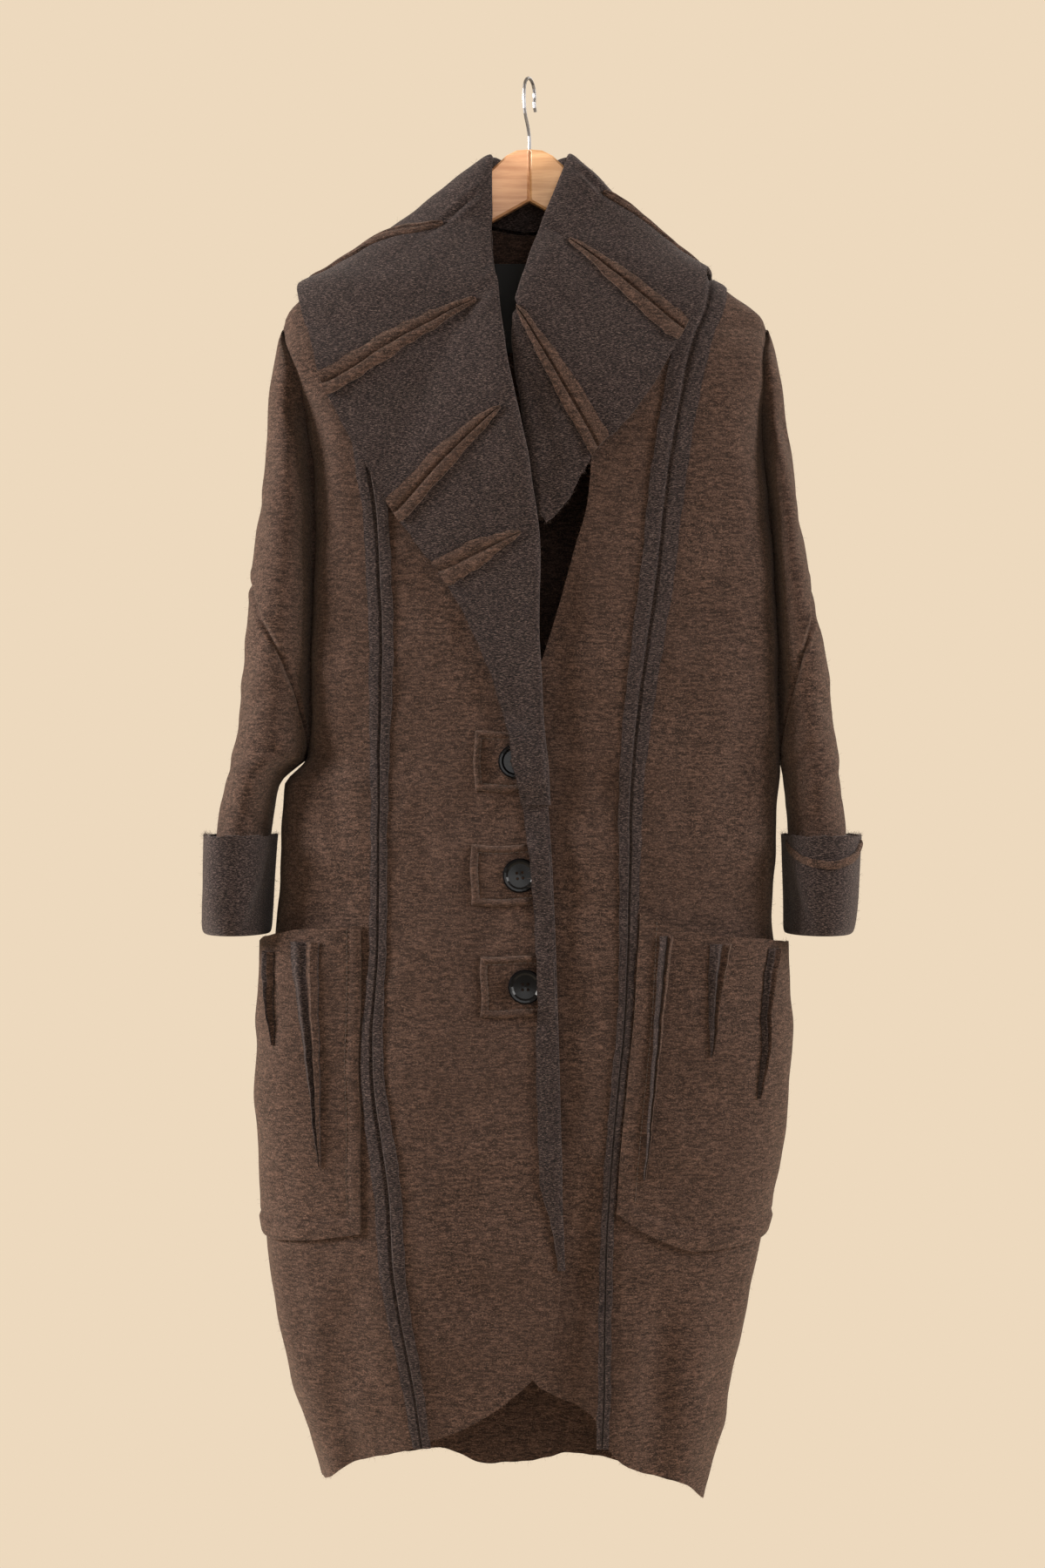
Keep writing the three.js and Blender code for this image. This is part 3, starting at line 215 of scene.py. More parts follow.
def table(names, rows):
    """One curve for each named column, over the first column."""
    columns = names.split()[1:]
    return SimpleNamespace(**{
        name: smooth_curve([(row[0], row[k + 1]) for row in rows]) for k, name in enumerate(columns)
    })


def mirrored(half):
    """Places across a doubled piece, from half of them that starts at 0."""
    return [-place for place in reversed(half[1:])] + half


# The coat's rings: side lines, half depths, and the half width of the armhole's opening
BODY = table("height left right front back armhole", [
    (-124, -70, 70, 26, 30, 0),
    (-138, -92, 86, 34, 36, 0),
    (-162, -134, 119, 46, 46, 0),
    (-186, -174, 157, 56, 54, 0),
    (-206, -209, 191, 64, 60, 0),
    (-228, -230, 222, 70, 66, 0),
    (-240, -234, 226, 73, 68, 0.2),
    (-250, -233, 225, 75, 70, 13),
    (-262, -228, 221, 77, 72, 31),
    (-280, -221, 219, 80, 74, 47),
    (-310, -213, 219, 83, 77, 56),
    (-360, -207, 221, 87, 80, 52),
    (-420, -204, 228, 90, 83, 44),
    (-500, -205, 233, 93, 86, 38),
    (-580, -208, 237, 96, 88, 30),
    (-625, -209, 238, 97, 89, 14),
    (-646, -211, 238, 98, 90, 0.5),
    (-656, -219, 238, 98, 90, 0),
    (-672, -233, 237, 99, 91, 0),
    (-700, -236, 236, 100, 92, 0),
    (-773, -238, 234, 103, 94, 0),
    (-830, -242, 233, 106, 96, 0),
    (-900, -245, 237, 109, 98, 0),
    (-960, -249, 235, 111, 100, 0),
    (-1030, -251, 232, 112, 101, 0),
    (-1096, -249, 222, 112, 101, 0),
    (-1160, -243, 209, 110, 99, 0),
    (-1247, -225, 191, 105, 96, 0),
    (-1300, -206, 180, 101, 93, 0),
    (-1360, -186, 163, 97, 90, 0),
])

# Soft hanging folds: where round the ring, half width in turns, depth out of the ring, and reach
FOLDS = [
    dict(turn=0.64, width=0.09, depth=8, top=-1085, bottom=-1360),
    dict(turn=0.46, width=0.08, depth=-9, top=-1080, bottom=-1360),
    dict(turn=-0.74, width=0.08, depth=7, top=-1080, bottom=-1360),
    dict(turn=-0.55, width=0.08, depth=-7, top=-1070, bottom=-1360),
    dict(turn=-0.3, width=0.1, depth=5, top=-700, bottom=-1300),
    dict(turn=0.18, width=0.09, depth=-10, top=-950, bottom=-1360),
    dict(turn=1.35, width=0.1, depth=7, top=-500, bottom=-1360),
    dict(turn=1.62, width=0.09, depth=-6, top=-650, bottom=-1360),
    dict(turn=1.98, width=0.12, depth=6, top=-420, bottom=-1360),
    dict(turn=2.33, width=0.09, depth=-7, top=-560, bottom=-1360),
    dict(turn=2.66, width=0.1, depth=7, top=-700, bottom=-1360),
]

# Creases on the coat: face (-1 front, 1 back), start and end in x and z, half width and depth
CREASES = [
    (-1, -196, -640, -168, -770, 9, -2.6),
    (-1, -188, -560, -160, -700, 11, 2.0),
    (-1, -200, -700, -150, -800, 8, 1.8),
    (-1, -110, -640, -80, -820, 14, -2.2),
    (-1, -84, -700, -52, -930, 16, 2.4),
    (-1, -60, -980, -38, -1210, 15, -2.8),
    (-1, -96, -1010, -84, -1240, 12, 2.2),
    (-1, -170, -1105, -152, -1260, 12, -3.0),
    (-1, -198, -1110, -186, -1280, 11, 2.6),
    (-1, -225, -1098, -205, -1230, 9, -2.2),
    (-1, 60, -560, 74, -760, 12, -2.2),
    (-1, 44, -640, 54, -900, 12, 1.8),
    (-1, 210, -560, 180, -740, 12, -2.4),
    (-1, 186, -470, 172, -640, 14, 2.0),
    (-1, 216, -660, 196, -770, 9, 1.8),
    (-1, 150, -600, 140, -760, 16, -1.8),
    (-1, 118, -1120, 112, -1290, 11, -3.2),
    (-1, 148, -1110, 134, -1300, 13, 3.0),
    (-1, 184, -1105, 166, -1270, 12, -2.6),
    (-1, 206, -1090, 190, -1200, 9, 2.0),
    (-1, 52, -1000, 46, -1210, 10, -2.6),
    (1, -150, -420, -120, -700, 18, -2.6),
    (1, -180, -560, -150, -820, 14, 2.2),
    (1, 170, -430, 140, -760, 18, -2.4),
    (1, 190, -600, 160, -880, 13, 2.2),
    (1, -60, -520, -52, -860, 20, 2.4),
    (1, 30, -460, 44, -820, 22, -2.4),
    (1, -20, -820, -30, -1240, 20, -2.8),
    (1, 60, -900, 56, -1280, 18, 2.6),
    (1, -150, -960, -140, -1260, 15, -2.6),
    (1, 150, -980, 138, -1290, 15, -2.8),
    (1, -100, -1040, -96, -1300, 13, 2.4),
    (1, 104, -1060, 100, -1310, 13, 2.2),
]

# Unevenness of felted cloth: wavelengths and heights
LUMPS = [(150, 0.9), (90, 0.7), (55, 0.5), (34, 0.32), (22, 0.2)]

# Seams, edges and hems, by height or by x
SEAMS = SimpleNamespace(
    front_right=smooth_curve([
        (-190, 170), (-216, 167), (-262, 151), (-309, 141), (-373, 130), (-477, 118), (-590, 102),
        (-671, 94), (-798, 91), (-878, 88), (-941, 82), (-1036, 74), (-1131, 70), (-1231, 69), (-1290, 67)]),
    front_left=smooth_curve([
        (-190, -176), (-216, -172), (-300, -160), (-373, -150), (-432, -142), (-555, -137), (-671, -139),
        (-803, -139), (-915, -145), (-956, -143), (-1038, -131), (-1116, -126), (-1223, -108), (-1281, -99)]),
    back_right=smooth_curve([(-190, 170), (-262, 150), (-432, 120), (-670, 102), (-900, 98), (-1340, 80)]),
    back_left=smooth_curve([(-190, -176), (-262, -156), (-432, -126), (-670, -108), (-900, -104),
                            (-1340, -86)]),
)
LEFT_EDGE = smooth_curve([
    (-124, -70), (-160, -71), (-220, -66), (-280, -58), (-340, -40), (-395, -15), (-440, 2), (-511, 1),
    (-595, 5), (-675, 12), (-767, 18), (-911, 23), (-1098, 28), (-1125, 30)])
RIGHT_EDGE = smooth_curve([
    (-124, 70), (-160, 70), (-250, 60), (-350, 58), (-406, 54), (-455, 41), (-509, 26), (-567, 8),
    (-620, -8), (-700, -18), (-1100, -20), (-1150, -20)])
HEMS = SimpleNamespace(
    left=smooth_curve([
        (-260, -1345), (-196, -1326), (-167, -1303), (-143, -1294), (-106, -1281), (-75, -1270),
        (-47, -1257), (-20, -1238), (8, -1213), (20, -1186), (27, -1155), (30, -1125)]),
    right=smooth_curve([
        (-20, -1150), (-12, -1188), (8, -1225), (29, -1238), (47, -1247), (60, -1257), (68, -1274),
        (77, -1292), (109, -1311), (146, -1322), (167, -1345), (240, -1350)]),
    back=smooth_curve([
        (-260, -1345), (-196, -1328), (-120, -1322), (-91, -1320), (-41, -1337), (-14, -1337), (18, -1332),
        (41, -1326), (67, -1328), (120, -1338), (167, -1347), (240, -1352)]),
)
BACK_NECK = smooth_curve([(-70, 0), (-45, -0.62), (0, -1), (45, -0.62), (70, 0)])

# Sleeves: outer line, inner line below the underarm, and half depth
SLEEVES = {
    "left": SimpleNamespace(sign=-1, side=BODY.left, lines=table("height outer inner depth", [
        (-238, -235, -230, 6), (-250, -239, -233, 19), (-262, -241, -228, 37), (-280, -244, -221, 54),
        (-310, -248, -213, 63), (-369, -252, -206, 70), (-412, -257, -204, 73), (-478, -265, -205, 77),
        (-566, -272, -208, 78), (-611, -276, -209, 78), (-646, -284, -211, 77), (-654, -286, -226, 76),
        (-664, -288, -236, 75), (-690, -293, -243, 74), (-733, -298, -247, 72), (-812, -304, -250, 72)])),
    "right": SimpleNamespace(sign=1, side=BODY.right, lines=table("height outer inner depth", [
        (-238, 227, 222, 6), (-250, 231, 225, 19), (-262, 234, 221, 37), (-280, 237, 219, 54),
        (-310, 242, 219, 63), (-369, 250, 222, 70), (-412, 256, 227, 73), (-478, 266, 232, 77),
        (-566, 283, 236, 78), (-611, 289, 238, 78), (-646, 293, 239, 77), (-654, 294, 240.5, 76),
        (-664, 295, 242, 75), (-690, 298, 244, 74), (-733, 301, 246, 72), (-812, 301, 246, 72)])),
}

# Creases round the sleeves: middle turn (0 outside, negative in front), height, slope in mm a turn,
# length in turns, half width and depth
SLEEVE_CREASES = [
    (-0.55, -640, 60, 0.5, 7, -5.0),
    (-0.5, -668, 50, 0.55, 8, 4.2),
    (-0.45, -696, 40, 0.5, 6, -4.6),
    (-0.6, -560, 90, 0.4, 10, -3.4),
    (-0.35, -520, -60, 0.45, 11, 2.8),
    (-0.3, -600, -70, 0.4, 9, -3.2),
    (-0.2, -430, 120, 0.4, 14, -2.4),
    (0.1, -650, 30, 0.5, 8, -3.6),
    (0.2, -585, -40, 0.5, 11, 3.0),
    (0.5, -640, -50, 0.5, 8, -4.0),
    (0.55, -676, -40, 0.5, 7, 3.4),
    (0.6, -560, -80, 0.4, 11, -3.0),
    (0.3, -500, 60, 0.4, 12, -2.4),
]

# The cuff's section, from inside the sleeve, round the fold and up to its raw top
CUFF_MIDLINE = [
    (-0.5 * CLOTH, SLEEVE_END), (-0.5 * CLOTH, CUFF_FOLD + 14), (0.4, CUFF_FOLD + 3.5), (3.6, CUFF_FOLD + 1),
    (6.4, CUFF_FOLD + 5), (7.4, CUFF_FOLD + 18), (8.4, CUFF_TOP - 50), (9.8, CUFF_TOP - 20), (11, CUFF_TOP),
]

# Places across the doubled allowances, and the strips' widths by height
STRIP_PLACES = mirrored([0, 0.02, 0.05, 0.1, 0.2, 0.3, 0.4, 0.49, 0.5])
STRIP_WIDTHS = SimpleNamespace(
    right=smooth_curve([(-190, 35), (-300, 34), (-500, 31), (-590, 27), (-750, 19), (-900, 13), (-1300, 11)]),
    left=smooth_curve([(-190, 24), (-500, 23), (-620, 19), (-700, 15), (-800, 15), (-1030, 25), (-1281, 16)]),
    back=smooth_curve([(-190, 32), (-500, 26), (-800, 18), (-1330, 14)]),
)

# Seam strips: name, seam, width, face, bottom and seed of the uneven edges
SEAM_STRIPS = [
    ("front_right", SEAMS.front_right, STRIP_WIDTHS.right, FRONT, -1284, 1),
    ("front_left", SEAMS.front_left, STRIP_WIDTHS.left, FRONT, -1281, 2),
    ("back_right", SEAMS.back_right, STRIP_WIDTHS.back, BACK, -1326, 3),
    ("back_left", SEAMS.back_left, STRIP_WIDTHS.back, BACK, -1318, 4),
]

# Pockets: inner edge, how far they wrap to the back, and the top and bottom line by the share across
POCKETS = {
    "left": SimpleNamespace(
        sign=-1, wrap=0.14,
        inner=lambda h: np.minimum(-155, SEAMS.front_left(h) - STRIP_WIDTHS.left(h) / 2 - 1.5),
        top=smooth_curve([(0, -802), (0.3, -807), (0.6, -816), (1, -829)]),
        bottom=smooth_curve([(0, -1085), (0.25, -1093), (0.5, -1096), (1, -1087)])),
    "right": SimpleNamespace(
        sign=1, wrap=0.1,
        inner=lambda h: SEAMS.front_right(h) + STRIP_WIDTHS.right(h) / 2 + 1.5,
        top=smooth_curve([(0, -789), (0.2, -808), (0.5, -815), (0.8, -820), (1, -826)]),
        bottom=smooth_curve([(0, -1066), (0.12, -1087), (0.3, -1102), (0.55, -1098), (1, -1083)])),
}

# Pocket darts: x of both edges at the top, x of the tip, and the heights
POCKET_DARTS = [
    dict(name="left_1", side="left", start=-212, end=-189, tip=-190, top=-818, bottom=-1024),
    dict(name="left_2", side="left", start=-234, end=-224, tip=-227, top=-828, bottom=-915),
    dict(name="right_1", side="right", start=118, end=129, tip=105, top=-811, bottom=-1034),
    dict(name="right_2", side="right", start=160, end=178, tip=162, top=-819, bottom=-922),
    dict(name="right_3", side="right", start=208, end=217, tip=203, top=-824, bottom=-962),
]

# Buttons and the left side of their tabs
BUTTONS = [
    dict(x=-13, height=-650, tab_left=-51),
    dict(x=-9, height=-755, tab_left=-54),
    dict(x=-4, height=-857, tab_left=-45),
]

# The inner side of the turned-back edge of the left front, below the collar
EDGE_STRIP_INNER = smooth_curve([
    (-690, -7), (-725, -2), (-767, 2), (-811, 5), (-875, 7), (-911, 6), (-1030, 9), (-1087, 22), (-1125, 27)])

# The collar: stations from the middle of the back, over the shoulder and down the front
COLLAR_COLUMNS = "face neck_x neck_z roll_x roll_y roll_z edge_x edge_z lift".split()
COLLARS = {
    "left": [
        (1, -1, -141, -1, 47, -76, -1, -262, 6),
        (1, -30, -137, -20, 41, -73, -95, -272, 6),
        (1, -56, -130, -32, 25, -71, -160, -262, 2),
        (1, -64, -127, -36, 12, -73, -200, -238, -3),
        (-1, -70, -125, -38, -12, -77, -209, -206, -1),
        (-1, -69, -143, -38, -29, -108, -203, -252, 3),
        (-1, -68, -165, -36, -40, -150, -190, -301, 0),
        (-1, -63, -215, -31, -74, -212, -158, -362, 4),
        (-1, -54, -282, -22, -99, -284, -125, -420, 5),
        (-1, -25, -368, -7, -106, -355, -98, -456, 4),
        (-1, 3.5, -440, 6, -99, -440, -81, -480, 1),
        (-1, 4, -520, 6, -101, -520, -50, -535, 1),
        (-1, 8, -600, 10, -103, -600, -24, -606, 0),
        (-1, 12.5, -650, 14, -104, -650, -16, -650, 0),
        (-1, 15, -690, 17, -105, -690, -7, -690, 0),
    ],
    "right": [
        (1, 1, -141, 1, 47, -76, 1, -262, 6),
        (1, 30, -137, 20, 41, -73, 95, -272, 6),
        (1, 56, -130, 33, 25, -71, 145, -262, 2),
        (1, 64, -127, 36, 12, -73, 163, -226, -2),
        (-1, 70, -125, 38, -13, -76, 164, -191, -1),
        (-1, 67, -145, 27, -32, -107, 155, -224, 3),
        (-1, 66, -165, 9, -48, -154, 140, -256, 2),
        (-1, 60, -225, -7, -72, -206, 100, -322, 4),
        (-1, 56, -290, -14, -85, -255, 63, -360, 4),
        (-1, 53, -330, -5, -89, -320, 48, -386, 2),
        (-1, 51, -350, 5, -92, -385, 32, -413, 0),
        (-1, 47, -372, 11, -93, -422, 15, -430, 0),
    ],
}

# Soft dents of the collar: station, place across, lengths, and depth
COLLAR_DENTS = {
    "left": [(5, 3.6, 0.5, 0.7, -3), (7, 4.1, 0.6, 0.6, -2.5), (9, 3.8, 0.5, 0.7, -2.5),
             (6.6, 2.8, 0.5, 0.4, 2), (8.8, 3.0, 0.4, 0.5, 2), (4.6, 3.0, 0.4, 0.6, 2.5),
             (2.4, 3.8, 0.5, 0.8, -3), (0.8, 3.2, 0.5, 0.7, -2.5), (11, 3.4, 0.6, 0.7, -1.5)],
    "right": [(5, 3.6, 0.5, 0.8, -3), (7, 4.0, 0.5, 0.6, -2), (6.2, 2.9, 0.4, 0.4, 2),
              (4.4, 3.0, 0.4, 0.7, 2.5), (2.4, 3.8, 0.5, 0.8, -3), (0.8, 3.2, 0.5, 0.7, -2.5),
              (8.6, 3.2, 0.4, 0.5, -1.5)],
}

# Collar darts: stations of tip and end, place of the tip across, and width at the edge
DART_PLACES = mirrored([0, 0.015, 0.04, 0.08, 0.14, 0.22, 0.3, 0.38, 0.45, 0.49, 0.5])
COLLAR_DARTS = {
    "left": [
        dict(name="back", tip_station=1.4, station=1.6, tip=3.2, width=22),
        dict(name="shoulder", tip_station=5, station=3.5, tip=3.4, width=24),
        dict(name="upper", tip_station=6.9, station=5.98, tip=3, width=24),
        dict(name="middle", tip_station=8.42, station=8, tip=2.9, width=25),
        dict(name="lower", tip_station=9.9, station=9.86, tip=3.1, width=26),
    ],
    "right": [
        dict(name="back", tip_station=1.4, station=1.6, tip=3.2, width=22),
        dict(name="shoulder", tip_station=4.4, station=3.4, tip=3.4, width=22),
        dict(name="upper", tip_station=5.8, station=5.9, tip=3.2, width=24),
        dict(name="lower", tip_station=7.45, station=8, tip=2.3, width=26),
    ],
}


# The coat's outer face, with its folds, creases and lumps
def lump_waves():
    """Random waves that together make the felt's unevenness: direction, phase and height."""
    waves = []
    for wavelength, height in LUMPS:
        for _ in range(4):
            way = rng.normal(size=3)
            way /= np.linalg.norm(way)
            waves.append((way * 2 * math.pi / wavelength, rng.uniform(0, 2 * math.pi), height / 2))
    return waves


WAVES = lump_waves()


def lumps(points):
    """The felt's unevenness, a height for each point."""
    return sum(height * np.sin(points @ way + phase) for way, phase, height in WAVES)


def along_segment(x, z, x0, z0, x1, z1):
    """Distance from a segment, and a share that fades out towards its ends."""
    length = math.hypot(x1 - x0, z1 - z0)
    along = ((x - x0) * (x1 - x0) + (z - z0) * (z1 - z0)) / length
    off = ((x - x0) * (z1 - z0) - (z - z0) * (x1 - x0)) / length
    fade = smooth_step(along / (0.3 * length)) * smooth_step((length - along) / (0.4 * length))
    return off, fade


def coat_relief(points):
    """How far creases and lumps lift a point of the coat."""
    x, y, z = points[..., 0], points[..., 1], points[..., 2]
    relief = lumps(points)
    for face, x0, z0, x1, z1, width, depth in CREASES:
        off, fade = along_segment(x, z, x0, z0, x1, z1)
        facing = smooth_step((face * y - 8) / 30)
        relief = relief + depth * np.exp(-(off / width) ** 2) * fade * facing
    return relief


def fold_depth(turn, height):
    """How far the hanging folds push the ring out there."""
    depth = 0
    for fold in FOLDS:
        across = np.exp(-(((turn - fold["turn"]) / fold["width"]) ** 2))
        along = smooth_step((fold["top"] - height) / (0.45 * (fold["top"] - fold["bottom"])))
        depth = depth + fold["depth"] * across * along
    return depth


def ring_point(turn, height):
    """A point of the coat's outer face: turn is 0 in front, 1 at the right side and 2 behind."""
    turn, height = np.broadcast_arrays(np.asarray(turn, float), np.asarray(height, float))
    left, right = BODY.left(height), BODY.right(height)
    angle = turn * math.pi / 2
    across = np.sin(angle)
    in_front = np.cos(angle) >= 0
    armhole = BODY.armhole(height)
    shape = np.maximum(0, 1 - np.abs(across) ** RING_SQUARENESS) ** (1 / RING_SQUARENESS)
    half = np.where(in_front, BODY.front(height), BODY.back(height))
    fold = fold_depth(np.where(turn < -1, turn + 4, turn), height)
    depth = armhole + (half + fold - armhole) * shape
    x = (left + right) / 2 + (right - left) / 2 * across
    return np.stack([x, np.where(in_front, -depth, depth), height], axis=-1)


def turn_at(x, height, face):
    """The turn round the ring at which its front or back passes x."""
    left, right = BODY.left(height), BODY.right(height)
    share = np.clip((x - (left + right) / 2) / ((right - left) / 2), -1, 1)
    turn = 2 / math.pi * np.arcsin(share)
    return turn if face < 0 else 2 - turn


def unit(vectors):
    return vectors / np.maximum(np.linalg.norm(vectors, axis=-1, keepdims=True), 1e-9)


def surface_normal(point_at, u, v, step_u, step_v):
    """The direction square to a surface that point_at(u, v) describes."""
    along_u = point_at(u + step_u, v) - point_at(u - step_u, v)
    along_v = point_at(u, v + step_v) - point_at(u, v - step_v)
    return unit(np.cross(along_u, along_v))


def on_coat(turn, height, lift=0, relief=1):
    """A point lifted off the coat's creased outer face."""
    turn, height = np.broadcast_arrays(np.asarray(turn, float), np.asarray(height, float))
    point = ring_point(turn, height)
    level = np.clip(height, RING_BOTTOM + 2, SHOULDER_TOP - 2)
    from_side = 1 - np.abs(turn)
    beside = turn + 0.008 * np.where(from_side < 0, -1, 1)
    near = np.where(np.abs(from_side) < 0.004, beside, turn)
    normal = surface_normal(ring_point, near, level, 0.003, 1)
    middle = (BODY.left(height) + BODY.right(height)) / 2
    outward = normal[..., 0] * (point[..., 0] - middle) + normal[..., 1] * point[..., 1]
    normal = normal * np.where(outward < 0, -1, 1)[..., None]
    total = lift + relief * coat_relief(point)
    return point + normal * total[..., None]


def on_coat_at(x, height, face, lift=0, relief=1):
    return on_coat(turn_at(x, height, face), height, lift, relief)


def coat_reach(points):
    """How far points lie outside the smooth rings, as a share of the ring: 0 on it and below 0 inside."""
    height = np.clip(points[..., 2], RING_BOTTOM, SHOULDER_TOP)
    left, right = BODY.left(height), BODY.right(height)
    armhole = BODY.armhole(height)
    half = np.where(points[..., 1] < 0, BODY.front(height), BODY.back(height))
    across = np.abs((points[..., 0] - (left + right) / 2) / ((right - left) / 2))
    deep = np.maximum(0, np.abs(points[..., 1]) - armhole) / (half - armhole)
    return (across ** RING_SQUARENESS + deep ** RING_SQUARENESS) ** (1 / RING_SQUARENESS) - 1


def clear_of_coat(points, clearance):
    """Pushes points out until they clear the coat's outer face."""
    place = points.copy()
    for _ in range(6):
        here = coat_reach(place)
        slope = np.stack([
            (coat_reach(place + 0.5 * axis) - here) * 2 for axis in np.eye(3)
        ], axis=-1)
        steepness = np.linalg.norm(slope, axis=-1)
        distance = here / np.maximum(steepness, 1e-6)
        push = np.where((steepness > 1e-6) & (distance < clearance), clearance - distance, 0)
        place = place + unit(slope) * push[..., None]
    return place


def raw_edge(along, seed, size=0.8):
    """The small waves of a cut edge, at each distance along it."""
    short = np.sin(along / 7.3 + seed) + 0.7 * np.sin(along / 3.1 + 2.3 * seed)
    long = 0.5 * np.sin(along / 17 + seed * 5)
    return size * (short + long) / 2


def catmull(points, places):
    """Points on a smooth curve through points (first axis), at each place."""
    last = len(points) - 1
    places = np.clip(places, 0, last)
    i = np.minimum(last - 1, np.floor(places).astype(int))
    s = places - i
    shape = (-1,) + (1,) * (points.ndim - 1)
    s = s.reshape(shape)
    p0, p1 = points[np.maximum(0, i - 1)], points[i]
    p2, p3 = points[i + 1], points[np.minimum(last, i + 2)]
    s2, s3 = s * s, s * s * s
    return 0.5 * ((-s3 + 2 * s2 - s) * p0 + (3 * s3 - 5 * s2 + 2) * p1
                  + (-3 * s3 + 4 * s2 + s) * p2 + (s3 - s2) * p3)


# Meshes
def add_mesh(name, points, quads, material, sharp=50):
    """A mesh object from points in millimetres; its faces turn outwards."""
    quads = np.asarray(quads, dtype=np.int64)
    a, b, c = (points[quads[:, k]] for k in (0, 1, 2))
    d = points[quads[:, 3]] if quads.shape[1] == 4 else c
    volume = np.einsum("ij,ij->i", a, np.cross(b, c)).sum() + np.einsum("ij,ij->i", a, np.cross(c, d)).sum()
    if volume < 0:
        quads = quads[:, ::-1]
    used, inverse = np.unique(quads, return_inverse=True)
    quads = inverse.reshape(quads.shape)
    mesh = bpy.data.meshes.new(name)
    mesh.vertices.add(len(used))
    mesh.vertices.foreach_set("co", (points[used] * MM).ravel())
    mesh.loops.add(quads.size)
    mesh.loops.foreach_set("vertex_index", quads.ravel().astype(np.int32))
    mesh.polygons.add(len(quads))
    mesh.polygons.foreach_set("loop_start", np.arange(0, quads.size, quads.shape[1], dtype=np.int32))
    mesh.update(calc_edges=True)
    mesh.validate()
    mesh.polygons.foreach_set("use_smooth", np.ones(len(mesh.polygons), dtype=bool))
    mesh.set_sharp_from_angle(angle=math.radians(sharp))
    mesh.materials.append(material)
    obj = bpy.data.objects.new(name, mesh)
    scene.collection.objects.link(obj)
    return obj


def wall_faces(columns, rows, keep, closed):
    """Quads of a closed shell: outer points come first, then the inner ones."""
    width = columns if closed else columns + 1
    offset = width * (rows + 1)

    def index(i, j, side):
        return (i % width if closed else i) * (rows + 1) + j + side * offset

    i, j = np.nonzero(keep)
    corners = [(i, j), (i + 1, j), (i + 1, j + 1), (i, j + 1)]
    top = np.stack([index(a, b, 0) for a, b in corners], axis=-1)
    under = np.stack([index(a, b, 1) for a, b in corners], axis=-1)
    quads = [top, under[:, ::-1]]
    for edge, (di, dj) in enumerate([(0, -1), (1, 0), (0, 1), (-1, 0)]):
        ni, nj = i + di, j + dj
        if closed:
            ni = ni % columns
        inside = (ni >= 0) & (ni < columns) & (nj >= 0) & (nj < rows)
        has = np.zeros(len(i), dtype=bool)
        has[inside] = keep[ni[inside], nj[inside]]
        after = (edge + 1) % 4
        rim = np.stack([top[:, after], top[:, edge], under[:, edge], under[:, after]], axis=-1)
        quads.append(rim[~has])
    return np.concatenate(quads)


def wall(name, outer, inner, material, keep=None, closed=False):
    """A closed cloth shell between two grids of points."""
    columns = outer.shape[0] if closed else outer.shape[0] - 1
    rows = outer.shape[1] - 1
    if keep is None:
        keep = np.ones((columns, rows), dtype=bool)
    quads = wall_faces(columns, rows, keep, closed)
    points = np.concatenate([outer.reshape(-1, 3), inner.reshape(-1, 3)])
    obj = add_mesh(f"{name}_cloth", points, quads, material)
    obj["outer_faces"] = int(keep.sum())
    return obj


CLOTH_PIECES = {"brown wool": [], "charcoal wool": [], "black label": []}


def dress(obj, node, slot):
    """The piece rides on the coat's one body, stands for its CAD node and joins the other pieces of its
    cloth.
    """
    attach(obj, "root")
    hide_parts(node)
    CLOTH_PIECES[slot].append(obj)


def cloth_piece(name, grids, cloth, keep=None, closed=False):
    """A shell between an outer and an inner grid of points, of one cloth, for the CAD node of that name."""
    dress(wall(name, *grids, cloth.finish, keep, closed), name, cloth.slot)


def loose_piece(obj):
    """A piece that stands for no CAD node, such as sewing and fibres."""
    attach(obj, "root")


